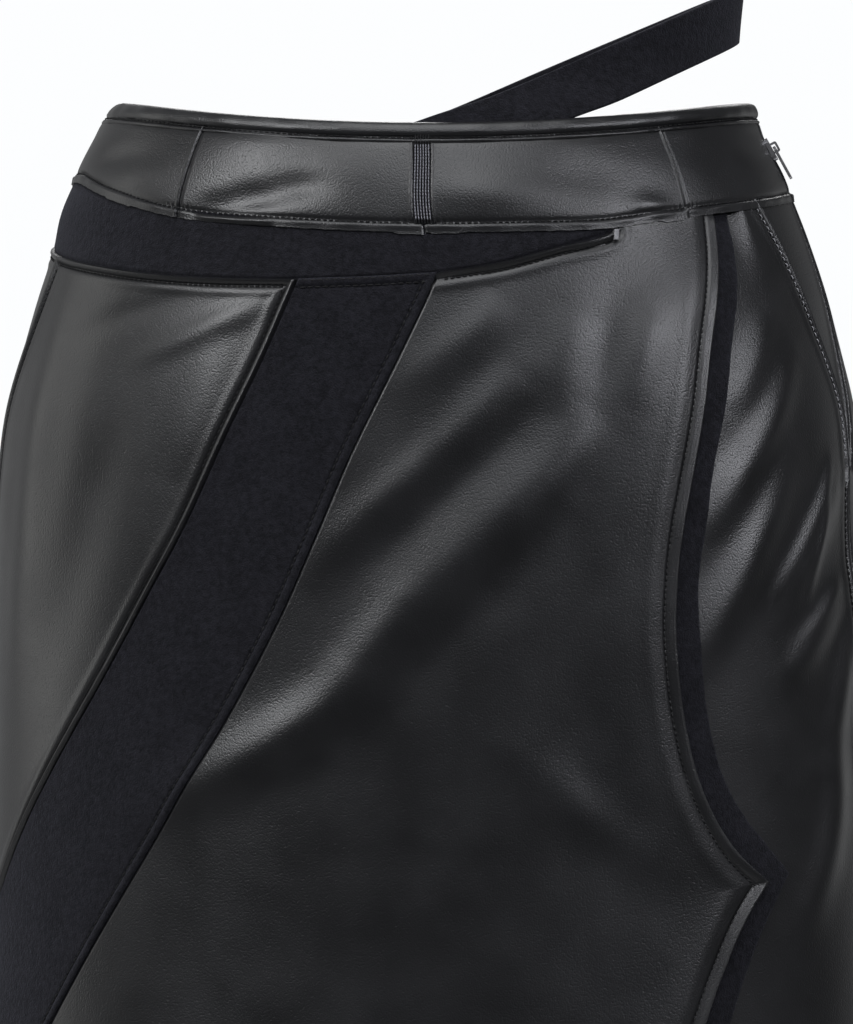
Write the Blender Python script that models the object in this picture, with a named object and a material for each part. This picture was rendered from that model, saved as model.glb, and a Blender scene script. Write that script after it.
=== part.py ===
"""Asymmetric midi skirt of imitation leather and wool, in its worn, hollow form.

The front faces -Y, +X is on the right as seen from the front, and Z is up. The origin
is the middle of the waist opening. A place on the cloth is a pair (turn, drop): the
degrees round the waist from centre front, positive towards +X, and the millimetres
below the waist. A height is the distance outward from the leather's outer face.
"""

import math

import bmesh
import bpy
import numpy as np
from mathutils import Matrix

MM = 0.001

# Driving dimensions, in millimetres and degrees.
WALL = 1.5
GAP = 0.3
FRONT_DIP = 13.5
BACK_DIP = 5.0
BINDING_TALL = 8.4
ALLOWANCE = 3.8
ALLOWANCE_HEIGHTS = (0.5, 1.7)
BAND_PROUD = 0.6
HEM_DROP = 780.0
HEM_SLANT = 38.0
WRAP_LAYER = WALL + GAP
WRAP_HIDDEN = (28.0, 18.0, 10.0)
WRAP_SINK_DROP = 42.0
MM_PER_TURN = 2.75
LEFT_BAND_SEAM = -41.0
RIGHT_BAND_SEAM = 42.5
RIDGES = (-2.4, 0.2)
LEFT_SIDE = -89.0
ZIP_SIDE = 84.0
CENTRE_BACK = 180.0
BAND_TURN = 1.2
RIDGE_COUNT = 5
RIDGE_HEIGHT = 0.7
COLUMN_SPACING = 4.4
BINDING_SPACING = 4.8
BINDING_END_GAP = 0.08

# How many columns or rows each piece has. Neighbours share them along a seam, so that
# their edges match.
YOKE_BACK_COLUMNS = 6
YOKE_RIGHT_COLUMNS = 7
YOKE_ROWS = 3
FRONT_LEFT_COLUMNS = 11
FRONT_LEFT_ROWS = 21
BAND_COLUMNS = 4
BAND_ROWS = 30
CENTRE_COLUMNS = 16
UPPER_ROWS = 22
LOWER_ROWS = 12
FRONT_RIGHT_COLUMNS = 9
HIP_ROWS = 9
HIP_COLUMNS = 4
BACK_COLUMNS = 13
BACK_LEFT_LOWER_ROWS = 10
STRAP_COLUMNS = 49

# The worn form, hollow, as ellipses: a row for each height.
FORM = (
    # drop, half_width, front_depth, back_depth, shift
    (-60, 129.5, 92.0, 95.0, 0.5),
    (0, 129.5, 92.0, 95.0, 0.5),
    (6, 133.0, 95.0, 97.0, -1.5),
    (15, 136.5, 98.0, 100.0, -2.5),
    (30, 144.5, 103.0, 106.0, -2.5),
    (45, 151.0, 107.0, 112.0, -2.5),
    (60, 155.5, 110.0, 117.0, -1.2),
    (80, 162.0, 113.5, 124.0, -1.0),
    (100, 167.5, 116.5, 130.0, -1.2),
    (125, 173.5, 119.5, 135.5, -1.3),
    (155, 177.0, 122.0, 139.0, -1.3),
    (190, 179.0, 124.0, 139.5, -1.0),
    (250, 181.0, 126.5, 138.0, 0.0),
    (350, 185.0, 131.0, 139.0, 0.0),
    (560, 197.0, 144.0, 149.0, 0.0),
    (830, 214.0, 160.0, 163.0, 0.0),
)

# The seam under the waistband, once round from the left side through the front.
BAND_SEAM = (
    # turn, drop
    (-180, 46.0), (-150, 44.0), (-135, 41.5), (-120, 38.0), (-104, 33.0), (-90, 29.5),
    (-76, 30.0), (-60, 37.0), (-40, 47.0), (-24, 51.0), (-3, 53.8), (15, 52.0),
    (33, 48.3), (62, 41.3), (84, 37.0), (110, 37.5), (135, 41.5), (155, 45.0), (180, 46.0),
)

# Seams between the panels, each a smooth line through its points.
YOKE_EDGE_BACK = ((-131, 45.2), (-118, 50.0), (-104, 54.5), (-92, 58.0), (-75.4, 63.0))
YOKE_EDGE_LEFT = ((-75.4, 63.0), (-58.6, 68.2), (-44, 72.4), (-34, 74.4), (-19.4, 75.6))
YOKE_EDGE_MIDDLE = ((-19.4, 75.6), (-9, 74.8), (0.6, 73.3))
YOKE_EDGE_RIGHT = ((0.6, 73.3), (10, 68.9), (18.4, 62.9), (27.4, 56.6), (31, 53.6))
LEFT_SIDE_SEAM = (
    (-75.4, 63), (-76.4, 78), (-78.6, 93), (-81.4, 108), (-84.2, 126), (-86.8, 160),
    (-88.3, 220), (-89, 300), (-89, 368),
)
BAND_LEFT_EDGE = (
    (-19.4, 75.6), (-23.8, 111.6), (-28.3, 142.2), (-32.8, 170.4), (-38.5, 198), (-46, 230),
    (-56.9, 268), (-65.8, 296), (-73.6, 321), (-81, 345), (-89, 368),
)
BAND_RIGHT_EDGE = (
    (0.6, 73.3), (-2.9, 95.7), (-6.4, 118), (-10.6, 145), (-14.3, 172), (-19.3, 206),
    (-26.6, 246), (-36.3, 291.6), (-46.8, 336), (-60, 387), (-75, 436), (-89, 478),
)
WRAP_EDGE = (
    (48.4, 45.2), (45.6, 65), (42.9, 82.4), (40.3, 101), (37.0, 131), (34.3, 159),
    (32.8, 176), (31.8, 195), (31.3, 212), (31.4, 229), (32.2, 250.6), (33.9, 272),
    (36.6, 289.3), (39.5, 301), (44.6, 313.5),
)
WRAP_LOWER_EDGE = (
    (44.6, 313.5), (41.6, 324), (39.2, 335), (34.4, 365), (29.0, 410), (24.4, 465),
    (20.6, 540), (18.0, 640), (16.5, 790.5),
)
WOOL_STRIP_EDGE = (
    (52.6, 44.4), (49.7, 69), (47.4, 84), (44.9, 99.5), (41.4, 127), (38.0, 157),
    (36.6, 176), (35.4, 195), (35.1, 212), (35.4, 229), (36.4, 253), (38.3, 272),
    (41.6, 287.5), (45.4, 299), (49.4, 310.5),
)
WOOL_STRIP_LOWER_EDGE = (
    (49.4, 310.5), (46.2, 323.5), (43.5, 336), (38.6, 366), (33.0, 411), (28.2, 466),
    (24.3, 541), (21.6, 641), (20.0, 793),
)
HIP_EDGE = (
    (61.4, 41.5), (64.3, 57.7), (66.3, 71.7), (69, 91), (71.2, 105.4), (72.7, 118),
    (73.3, 131), (72.8, 148),
)
RIGHT_SIDE_SEAM = (
    (84, 37.0), (82.4, 58), (80.6, 82), (78.4, 106), (75.8, 130), (73.4, 148),
)
RIGHT_SIDE_LOWER_SEAM = (
    (73.1, 148), (71.2, 166), (70.0, 190), (70.0, 220), (70.8, 270), (72.4, 350),
    (74.2, 500), (75, 816.7),
)

# The largest folds, each along a bent line of three points.
FOLDS = (
    # turn_1, drop_1, turn_2, drop_2, turn_3, drop_3, height, half_width
    (7, 84, 2, 98, -4, 112, 1.4, 10),
    (8, 112, 0, 140, -15, 182, 1.8, 12),
    (17, 133, 5, 171, -9, 209, 3.2, 14),
    (-9, 209, -17, 245, -32, 266, 3.0, 13),
    (-3, 205, 6, 186, 14, 168, -2.2, 12),
    (24, 90, 21, 108, 18, 128, 1.4, 13),
    (34, 92, 32, 108, 29, 124, 1.2, 12),
    (6, 250, 20, 287, 27, 306, 1.0, 14),
    (54, 78, 48, 98, 42, 122, 1.8, 10),
    (55, 112, 45, 143, 38, 170, 2.6, 11),
    (53, 153, 44, 185, 37, 218, 2.6, 11),
    (65, 156, 58, 176, 50, 198, 1.6, 9),
    (66, 199, 59, 212, 51, 226, 1.6, 9),
    (74, 180, 65, 225, 61, 262, 2.4, 12),
    (61, 262, 64, 285, 52, 330, 2.0, 13),
    (-66, 80, -64, 150, -70, 240, 1.6, 14),
    (-44, 100, -48, 170, -60, 230, -1.4, 16),
    (-30, 96, -31, 125, -35, 156, 1.2, 12),
    (-104, 92, -116, 150, -122, 230, 2.4, 16),
    (-140, 88, -146, 135, -160, 190, 2.2, 15),
    (-126, 262, -146, 330, -168, 384, 2.6, 18),
    (102, 80, 114, 140, 120, 214, 2.4, 15),
    (140, 84, 148, 130, 160, 178, 2.0, 14),
    (100, 232, 124, 300, 150, 352, 2.8, 18),
    (96, 402, 128, 470, 160, 520, 2.0, 20),
)
FOLD_READINGS = 13
FOLD_REACH = 3.0
FOLD_END_SHARE = 0.25
FLARE_START = 380.0
FLARE_HEIGHT = 6.5
FLARE_POWER = 1.4
FLARE_WAVES = (
    # waves_round, phase, share
    (7, 20.0, 0.65),
    (11, 75.0, 0.35),
)

LEATHER = ((0.030, 0.031, 0.034), 0.36)
WOOL = ((0.011, 0.011, 0.014), 0.92)
STEEL = ((0.42, 0.42, 0.44), 0.30)


# --- the form of the worn cloth ---

def read_smooth(rows, key):
    """Read a table (key, value, ...) at a key, on a smooth line through its rows."""
    rows = np.asarray(rows, dtype=float)
    keys, values = rows[:, 0], rows[:, 1:]
    place = int(np.clip(np.searchsorted(keys, key) - 1, 0, len(keys) - 2))
    steps = np.diff(keys)
    slopes = np.diff(values, axis=0) / steps[:, None]

    def slope_at(row):
        if row == 0:
            return slopes[0]
        if row == len(keys) - 1:
            return slopes[-1]
        before, after = steps[row - 1], steps[row]
        return (slopes[row - 1] * after + slopes[row] * before) / (before + after)

    step = steps[place]
    t = min(max((key - keys[place]) / step, 0.0), 1.0)
    start, end = values[place], values[place + 1]
    return (
        start * (2 * t**3 - 3 * t**2 + 1) + slope_at(place) * step * (t**3 - 2 * t**2 + t)
        + end * (3 * t**2 - 2 * t**3) + slope_at(place + 1) * step * (t**3 - t**2)
    )


def soft_step(value):
    """Rise from 0 to 1 as the value goes from 0 to 1, with no corner."""
    t = min(max(value, 0.0), 1.0)
    return t * t * (3 - 2 * t)


def wrapped(turn):
    """The same turn between -180 and 180."""
    return (turn + 180.0) % 360.0 - 180.0


def form_point(turn, drop):
    """The point of the smooth form at a turn and a drop, in millimetres."""
    half_width, front_depth, back_depth, shift = read_smooth(FORM, drop)
    angle = math.radians(turn)
    depth = front_depth if math.cos(angle) >= 0 else back_depth
    return np.array((shift + half_width * math.sin(angle), -depth * math.cos(angle), -drop))


def outward(turn, drop):
    """The direction straight out of the cloth."""
    round_waist = form_point(turn + 0.5, drop) - form_point(turn - 0.5, drop)
    downward = form_point(turn, drop + 1.0) - form_point(turn, drop - 1.0)
    across = np.cross(downward, round_waist)
    return across / np.linalg.norm(across)


def fold_height(turn, drop):
    """How far the folds and the flare lift the cloth at a place."""
    height = 0.0
    for turn_1, drop_1, turn_2, drop_2, turn_3, drop_3, ridge, half_width in FOLDS:
        best = None
        for share in np.linspace(0.0, 1.0, FOLD_READINGS):
            a, b, c = (1 - share)**2, 2 * share * (1 - share), share**2
            beside = wrapped(turn - (a * turn_1 + b * turn_2 + c * turn_3)) * MM_PER_TURN
            below = drop - (a * drop_1 + b * drop_2 + c * drop_3)
            distance = math.hypot(beside, below)
            if best is None or distance < best[0]:
                best = (distance, share)
        distance, share = best
        if distance < FOLD_REACH * half_width:
            swell = FOLD_END_SHARE + 4 * (1 - FOLD_END_SHARE) * share * (1 - share)
            height += ridge * swell * math.exp(-(distance / half_width)**2)
    ramp = max(drop - FLARE_START, 0.0) / (HEM_DROP - FLARE_START)
    for waves_round, phase, share in FLARE_WAVES:
        wave = math.sin(math.radians(waves_round * turn + phase))
        height += FLARE_HEIGHT * share * ramp**FLARE_POWER * wave
    return height


def cloth_point(turn, drop, height=0.0):
    """A point at a height over the cloth, with its folds, in millimetres."""
    lift = fold_height(turn, drop) + height
    return form_point(turn, drop) + outward(turn, drop) * lift


def waist_edge(turn):
    """The drop of the waist's top edge, which dips at the front and a little behind."""
    across = math.cos(math.radians(turn))
    return (FRONT_DIP if across >= 0 else BACK_DIP) * across**2


def band_seam(turn):
    """The drop of the seam under the waistband."""
    return float(read_smooth(BAND_SEAM, wrapped(turn))[0])


def hem(turn):
    """The drop of the hem, which slants down towards the right."""
    return HEM_DROP + HEM_SLANT * math.sin(math.radians(turn))


# --- lines on the cloth ---

class Line:
    """A smooth line through (turn, drop) points, read by its share of length."""

    def __init__(self, points):
        places = np.asarray(points, dtype=float)
        steps = np.diff(places, axis=0) * (MM_PER_TURN, 1.0)
        lengths = np.concatenate(([0.0], np.cumsum(np.linalg.norm(steps, axis=1))))
        self.table = np.column_stack((lengths, places))
        self.length = lengths[-1]

    def __call__(self, share):
        return read_smooth(self.table, share * self.length)


def joined(first, second, joint):
    """Two lines end to end, which meet in a corner at the joint's share."""
    def read(share):
        if share <= joint:
            return first(share / joint)
        return second((share - joint) / (1 - joint))
    return read


def along_band_seam(start, end):
    """The line under the waistband from one turn to another."""
    def read(share):
        turn = start + (end - start) * share
        return np.array((turn, band_seam(turn) + GAP / 2))
    return read


def along_hem(start, end):
    """The line of the hem from one turn to another."""
    def read(share):
        turn = start + (end - start) * share
        return np.array((turn, hem(turn)))
    return read


def between_lines(top, bottom, left, right, rows, columns):
    """A grid of places inside four lines, which blends their shapes."""
    grid = np.empty((len(rows), len(columns), 2))
    for i, v in enumerate(rows):
        for j, u in enumerate(columns):
            sides = (1 - u) * left(v) + u * right(v)
            ends = (1 - v) * top(u) + v * bottom(u)
            corners = (
                (1 - u) * (1 - v) * top(0) + u * (1 - v) * top(1)
                + (1 - u) * v * bottom(0) + u * v * bottom(1)
            )
            grid[i, j] = sides + ends - corners
    return grid


# --- walls ---

def seam_inset(grid):
    """Moves that take a grid's rim half a seam gap inwards, square to each side."""
    inward = [[[] for _ in range(grid.shape[1])] for _ in range(grid.shape[0])]
    last_row, last_column = grid.shape[0] - 1, grid.shape[1] - 1

    def add(i, j, inner, before, after):
        along = grid[after] - grid[before]
        along = along / np.linalg.norm(along)
        inside = grid[inner] - grid[i, j]
        inside = inside - along * np.dot(inside, along)
        inward[i][j].append(inside / np.linalg.norm(inside))

    for j in range(last_column + 1):
        near, far = max(j - 1, 0), min(j + 1, last_column)
        add(0, j, (1, j), (0, near), (0, far))
        add(last_row, j, (last_row - 1, j), (last_row, near), (last_row, far))
    for i in range(last_row + 1):
        near, far = max(i - 1, 0), min(i + 1, last_row)
        add(i, 0, (i, 1), (near, 0), (far, 0))
        add(i, last_column, (i, last_column - 1), (near, last_column), (far, last_column))

    moves = np.zeros_like(grid)
    for i in range(last_row + 1):
        for j in range(last_column + 1):
            sides = inward[i][j]
            if len(sides) == 1:
                moves[i, j] = sides[0] * GAP / 2
            elif len(sides) == 2:
                moves[i, j] = (sides[0] + sides[1]) * GAP / 2 / (1 + np.dot(*sides))
    return moves


def add_object(name, vertices, faces, finish):
    """Make one closed, smooth-shaded object with its own material."""
    mesh = bpy.data.meshes.new(name)
    mesh.from_pydata([tuple(vertex) for vertex in vertices], [], faces)
    build = bmesh.new()
    build.from_mesh(mesh)
    bmesh.ops.recalc_face_normals(build, faces=build.faces)
    build.to_mesh(mesh)
    build.free()
    mesh.shade_smooth()
    mesh.set_sharp_from_angle(angle=math.radians(35))
    colour, roughness = finish
    material = bpy.data.materials.new(name)
    material.use_nodes = True
    shader = material.node_tree.nodes["Principled BSDF"]
    shader.inputs["Base Color"].default_value = (*colour, 1.0)
    shader.inputs["Roughness"].default_value = roughness
    shader.inputs["Metallic"].default_value = 1.0 if finish is STEEL else 0.0
    mesh.materials.append(material)
    part = bpy.data.objects.new(name, mesh)
    bpy.context.scene.collection.objects.link(part)
    return part


def wall(name, outer_places, inner_places, outer_heights, inner_heights, finish):
    """A closed wall between two grids of places on the cloth."""
    rows, columns = outer_places.shape[:2]
    outer = np.empty((rows, columns, 3))
    inner = np.empty((rows, columns, 3))
    for i in range(rows):
        for j in range(columns):
            outer[i, j] = cloth_point(*outer_places[i, j], outer_heights[i, j])
            inner[i, j] = cloth_point(*inner_places[i, j], inner_heights[i, j])
    moves = seam_inset(outer)
    vertices = np.concatenate(((outer + moves).reshape(-1, 3), (inner + moves).reshape(-1, 3)))
    behind = rows * columns
    faces = []
    for i in range(rows - 1):
        for j in range(columns - 1):
            a, b = i * columns + j, (i + 1) * columns + j
            faces.append((a, b, b + 1, a + 1))
            faces.append((a + behind, a + 1 + behind, b + 1 + behind, b + behind))
    rim = (
        [j for j in range(columns)]
        + [i * columns + columns - 1 for i in range(1, rows)]
        + [(rows - 1) * columns + j for j in range(columns - 2, -1, -1)]
        + [i * columns for i in range(rows - 2, 0, -1)]
    )
    for a, b in zip(rim, rim[1:] + rim[:1]):
        faces.append((a, b, b + behind, a + behind))
    return add_object(name, vertices * MM, faces, finish)


def panel(name, grid, finish):
    """A wall of one cloth whose outer face is the form itself."""
    outer = np.zeros(grid.shape[:2])
    return wall(name, grid, grid, outer, outer - WALL, finish)


def turns_between(start, end, spacing=COLUMN_SPACING):
    """Evenly spread turns, with a column about every 12 mm."""
    count = max(2, round(abs(end - start) / spacing))
    return np.linspace(start, end, count + 1)


# --- the waist: band, binding, ridges ---

def band_grid(turns, rows):
    """Places of a waistband piece, where each row is a drop made from the turn."""
    return np.array([[(turn, row(turn)) for turn in turns] for row in rows])


def waistband_piece(name, start, end):
    """A waistband piece with its raw allowance hanging over the panels below."""
    turns = turns_between(start, end)

    def top(turn):
        return waist_edge(turn) + BINDING_TALL

    def share_down(share):
        return lambda turn: top(turn) + (band_seam(turn) - top(turn)) * share

    def seam_plus(extra):
        return lambda turn: band_seam(turn) + extra

    body = [top, share_down(1 / 3), share_down(2 / 3)]
    outer_rows = body + [seam_plus(-BAND_TURN), seam_plus(0.0), seam_plus(ALLOWANCE)]
    inner_rows = body + [seam_plus(-GAP / 2), seam_plus(-GAP / 2), seam_plus(ALLOWANCE)]
    low, high = ALLOWANCE_HEIGHTS
    outer_heights = (BAND_PROUD, BAND_PROUD, BAND_PROUD, BAND_PROUD, high, high)
    inner_heights = (-WALL, -WALL, -WALL, -WALL, low, low)
    spread = np.ones(len(turns))
    wall(
        name, band_grid(turns, outer_rows), band_grid(turns, inner_rows),
        np.outer(outer_heights, spread), np.outer(inner_heights, spread), LEATHER,
    )


def centre_front_ridges():
    """The strip at centre front, with stitched ridges raised in its outer face."""
    turns = np.linspace(*RIDGES, 2 * RIDGE_COUNT + 1)

    def top(turn):
        return waist_edge(turn) + BINDING_TALL

    def middle(turn):
        return (top(turn) + band_seam(turn)) / 2

    places = band_grid(turns, (top, middle, band_seam))
    ridges = [RIDGE_HEIGHT * (column % 2) for column in range(len(turns))]
    outer = BAND_PROUD + np.tile(ridges, (3, 1))
    wall("centre_front_ridges", places, places, outer, np.full(outer.shape, -WALL), LEATHER)


BINDING_SECTION = (
    # below_edge, height: once round the rounded leather roll
    (0.0, -0.2), (0.9, 1.1), (2.8, 1.8), (5.6, 1.8), (8.1, 1.4), (8.1, -1.7),
    (5.6, -2.2), (2.8, -2.2), (0.9, -1.5),
)


def waist_binding(name, start, end):
    """A length of the rounded binding, swept along the waist's top edge."""
    turns = turns_between(start + BINDING_END_GAP, end - BINDING_END_GAP, BINDING_SPACING)
    vertices = []
    for turn in turns:
        for below, height in BINDING_SECTION:
            vertices.append(cloth_point(turn, waist_edge(turn) + below, height))
    around = len(BINDING_SECTION)
    faces = [tuple(range(around)), tuple(range((len(turns) - 1) * around, len(turns) * around))]
    for i in range(len(turns) - 1):
        for j in range(around):
            a, b = i * around + j, i * around + (j + 1) % around
            faces.append((a, b, b + around, a + around))
    add_object(name, np.array(vertices) * MM, faces, LEATHER)


# --- the skirt's panels ---

def evenly(count):
    """Shares from 0 to 1 in equal steps."""
    return np.linspace(0.0, 1.0, count + 1)


def yoke_wool():
    """The wool crescent between the waistband and the leather panels."""
    stretches = (
        (YOKE_EDGE_BACK, YOKE_BACK_COLUMNS), (YOKE_EDGE_LEFT, FRONT_LEFT_COLUMNS),
        (YOKE_EDGE_MIDDLE, BAND_COLUMNS), (YOKE_EDGE_RIGHT, YOKE_RIGHT_COLUMNS),
    )
    edge = [YOKE_EDGE_BACK[0]]
    for points, count in stretches:
        stretch = Line(points)
        edge += [stretch(share) for share in evenly(count)[1:]]
    grid = np.empty((YOKE_ROWS + 1, len(edge), 2))
    for j, (turn, low) in enumerate(edge):
        top = band_seam(turn) + GAP / 2
        for i in range(YOKE_ROWS + 1):
            grid[i, j] = (turn, top + (low - top) * i / YOKE_ROWS)
    panel("yoke_wool", grid, WOOL)


FRONT_LEFT_TIP = 0.965


def panel_front_left():
    """The left front, a long triangle between yoke, side seam and wool band."""
    tip = FRONT_LEFT_TIP
    side, edge = Line(LEFT_SIDE_SEAM), Line(BAND_LEFT_EDGE)
    grid = between_lines(
        Line(YOKE_EDGE_LEFT), Line((side(tip), edge(tip))), lambda v: side(v * tip),
        lambda v: edge(v * tip), evenly(FRONT_LEFT_ROWS), evenly(FRONT_LEFT_COLUMNS),
    )
    panel("panel_front_left", grid, LEATHER)


def band_wool_diagonal():
    """The wool band that crosses the front and ends in the left side seam."""
    foot = Line((BAND_LEFT_EDGE[-1], BAND_RIGHT_EDGE[-1]))
    grid = between_lines(
        Line(YOKE_EDGE_MIDDLE), foot, Line(BAND_LEFT_EDGE), Line(BAND_RIGHT_EDGE),
        evenly(BAND_ROWS), evenly(BAND_COLUMNS),
    )
    panel("band_wool_diagonal", grid, WOOL)


CORNER = 0.5
WRAP_ROWS = np.concatenate((
    np.linspace(0.0, CORNER, UPPER_ROWS + 1), np.linspace(CORNER, 1.0, LOWER_ROWS + 1)[1:],
))


# The free edges of the wrap and of the wool strip under it, down past their corners.
wrap_edge = joined(Line(WRAP_EDGE), Line(WRAP_LOWER_EDGE), CORNER)
wool_strip_edge = joined(Line(WOOL_STRIP_EDGE), Line(WOOL_STRIP_LOWER_EDGE), CORNER)


def on_rows(edge, inset=0.0):
    """A column of places along an edge, set back under the wrap by an inset."""
    places = np.array([edge(share) - (inset / MM_PER_TURN, 0.0) for share in WRAP_ROWS])
    places[0, 1] = band_seam(places[0, 0]) + GAP / 2
    places[-1, 1] = hem(places[-1, 0])
    return places


def wrap_sink(places):
    """How deep the layers under the wrap lie, so that they pass below the waistband."""
    depths = []
    for turn, drop in places:
        near_band = 1.0 - soft_step((drop - band_seam(turn)) / WRAP_SINK_DROP)
        depths.append(2 * WRAP_LAYER * near_band)
    return np.array(depths)


def panel_front_centre():
    """The centre front, from the wool band to the wrap edge, over the layers there."""
    far, middle, near = WRAP_HIDDEN
    beside = on_rows(wrap_edge, far)
    inner_line = joined(Line(beside[:UPPER_ROWS + 1]), Line(beside[UPPER_ROWS:]), CORNER)
    side = Line((BAND_RIGHT_EDGE[-1], (LEFT_SIDE, hem(LEFT_SIDE))))
    halfway = (YOKE_EDGE_RIGHT[-1][0] + beside[0, 0]) / 2
    top = Line(YOKE_EDGE_RIGHT + ((halfway, band_seam(halfway) + GAP / 2), tuple(beside[0])))
    field = between_lines(
        top, along_hem(LEFT_SIDE, beside[-1, 0]), joined(Line(BAND_RIGHT_EDGE), side, CORNER),
        inner_line, WRAP_ROWS, evenly(CENTRE_COLUMNS),
    )
    edge_columns = [on_rows(wrap_edge, middle), on_rows(wrap_edge, near), on_rows(wrap_edge)]
    grid = np.concatenate((field, np.stack(edge_columns, axis=1)), axis=1)
    inner = np.full(grid.shape[:2], -WALL)
    for column, layers in ((-3, 1), (-2, 2), (-1, 2)):
        over = layers * WRAP_LAYER - WALL - wrap_sink(grid[:, column])
        inner[:, column] = np.maximum(over, -WALL)
    wall("panel_front_centre", grid, grid, inner + WALL, inner, LEATHER)


def edge_wool_strip():
    """The wool strip that shows beside the wrap edge, lying on the panel below."""
    near = WRAP_HIDDEN[2]
    columns = [on_rows(wrap_edge, near), on_rows(wrap_edge), on_rows(wool_strip_edge)]
    low = [GAP - wrap_sink(column) for column in columns]
    grid, inner = np.stack(columns, axis=1), np.stack(low, axis=1)
    wall("edge_wool_strip", grid, grid, inner + WALL, inner, WOOL)


SIDE_UPPER_ROWS = UPPER_ROWS - HIP_ROWS
SIDE_BREAK = 0.23
# The share of the right front's open width over which it rises to the form again.
SINK_END_SHARE = 0.45


def side_rows(upper):
    """Places down the right side: along an upper line, then down the lower seam."""
    lower = Line(RIGHT_SIDE_LOWER_SEAM)
    shares = np.concatenate((
        np.linspace(0.0, SIDE_BREAK, SIDE_UPPER_ROWS + 1)[1:],
        np.linspace(SIDE_BREAK, 1.0, LOWER_ROWS + 1)[1:],
    ))
    places = [upper(row / HIP_ROWS) for row in range(HIP_ROWS + 1)]
    places += [lower(share) for share in shares]
    places = np.array(places)
    places[0, 1] = band_seam(places[0, 0]) + GAP / 2
    places[-1, 1] = hem(places[-1, 0])
    return places


def panel_front_right():
    """The right front, from under the wrap to the hip edge and the right side seam."""
    middle, near = WRAP_HIDDEN[1:]
    strip, side = on_rows(wool_strip_edge), side_rows(Line(HIP_EDGE))
    columns = [on_rows(wrap_edge, middle), on_rows(wrap_edge, near), on_rows(wrap_edge), strip]
    heights = [-wrap_sink(column) for column in columns]
    for share in evenly(FRONT_RIGHT_COLUMNS)[1:]:
        places = strip * (1 - share) + side * share
        columns.append(places)
        heights.append(-wrap_sink(places) * (1 - soft_step(share / SINK_END_SHARE)))
    grid, outer = np.stack(columns, axis=1), np.stack(heights, axis=1)
    wall("panel_front_right", grid, grid, outer, outer - WALL, LEATHER)


def panel_hip_right():
    """The hip piece between the curved topstitched edge and the right side seam."""
    grid = between_lines(
        along_band_seam(HIP_EDGE[0][0], RIGHT_SIDE_SEAM[0][0]),
        Line((HIP_EDGE[-1], RIGHT_SIDE_SEAM[-1])),
        Line(HIP_EDGE), Line(RIGHT_SIDE_SEAM), evenly(HIP_ROWS), evenly(HIP_COLUMNS),
    )
    panel("panel_hip_right", grid, LEATHER)


BACK_SEAM_TURNS = (-180.0, -165.0, -150.0, -142.0, -138.0, -135.0)


def panel_back_right():
    """The right back, from the right side seam to centre back."""
    side = side_rows(Line(RIGHT_SIDE_SEAM))
    rows = (side[:, 1] - side[0, 1]) / (side[-1, 1] - side[0, 1])
    centre = Line(((CENTRE_BACK, band_seam(CENTRE_BACK)), (CENTRE_BACK, hem(CENTRE_BACK))))
    left = dict(zip(rows, side))
    grid = between_lines(
        along_band_seam(ZIP_SIDE, CENTRE_BACK), along_hem(side[-1, 0], CENTRE_BACK),
        left.get, centre, rows, evenly(BACK_COLUMNS),
    )
    panel("panel_back_right", grid, LEATHER)


def panel_back_left():
    """The left back, from centre back to the left side seam, under the yoke's end."""
    seam_part = Line([(turn, band_seam(turn) + GAP / 2) for turn in BACK_SEAM_TURNS] +
                     [YOKE_EDGE_BACK[0]])
    top = joined(seam_part, Line(YOKE_EDGE_BACK), 1 - YOKE_BACK_COLUMNS / BACK_COLUMNS)
    band_foot = BAND_RIGHT_EDGE[-1]
    side = Line(LEFT_SIDE_SEAM + (band_foot, (LEFT_SIDE, hem(LEFT_SIDE))))
    shared = FRONT_LEFT_TIP * Line(LEFT_SIDE_SEAM).length / side.length
    rows = np.concatenate((
        np.linspace(0.0, shared, FRONT_LEFT_ROWS + 1),
        np.linspace(shared, 1.0, BACK_LEFT_LOWER_ROWS + 1)[1:],
    ))
    centre = Line(((-CENTRE_BACK, band_seam(CENTRE_BACK)), (-CENTRE_BACK, hem(CENTRE_BACK))))
    grid = between_lines(
        top, along_hem(-CENTRE_BACK, LEFT_SIDE), centre, side, rows, evenly(BACK_COLUMNS),
    )
    panel("panel_back_left", grid, LEATHER)


# --- the wool strap, a sling round the right side ---

STRAP_WIDE = 21.0
STRAP_THICK = 1.8
STRAP_TILT = 0.355
STRAP_BACK_RISE = 0.07
STRAP_CENTRE = -14.2
STRAP_TURNS = (-22.0, 205.0)
STRAP_SEWN_HEIGHT = -1.8
STRAP_FREE_HEIGHT = -2.7
STRAP_SEWN_TURNS = 14.0


def strap_wool():
    """The strap, sewn inside the waistband at both ends and tilted up to the right."""
    turns = np.linspace(*STRAP_TURNS, STRAP_COLUMNS)
    half_tall = STRAP_WIDE / 2 / math.cos(math.atan(STRAP_TILT))
    grid = np.empty((3, len(turns), 2))
    outer = np.empty((3, len(turns)))
    for j, turn in enumerate(turns):
        x, y, _ = form_point(turn, 0.0)
        rise = STRAP_CENTRE + STRAP_TILT * x + STRAP_BACK_RISE * y
        from_end = min(turn - STRAP_TURNS[0], STRAP_TURNS[1] - turn)
        free = soft_step(from_end / STRAP_SEWN_TURNS)
        for i in range(3):
            grid[i, j] = (turn, (i - 1) * half_tall - rise)
            outer[i, j] = STRAP_SEWN_HEIGHT + (STRAP_FREE_HEIGHT - STRAP_SEWN_HEIGHT) * free
    wall("strap_wool", grid, grid, outer, outer - STRAP_THICK, WOOL)


# --- the side zip's slider and pull tab ---
# In the zip's own millimetres x runs along the waist, y down the cloth and z outward.

ZIP_DROP = 20.0
SLIDER_WIDE = 5.2
SLIDER_LONG = 10.0
SLIDER_THICK = 1.6
SLIDER_CORNER = 2.0
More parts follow.
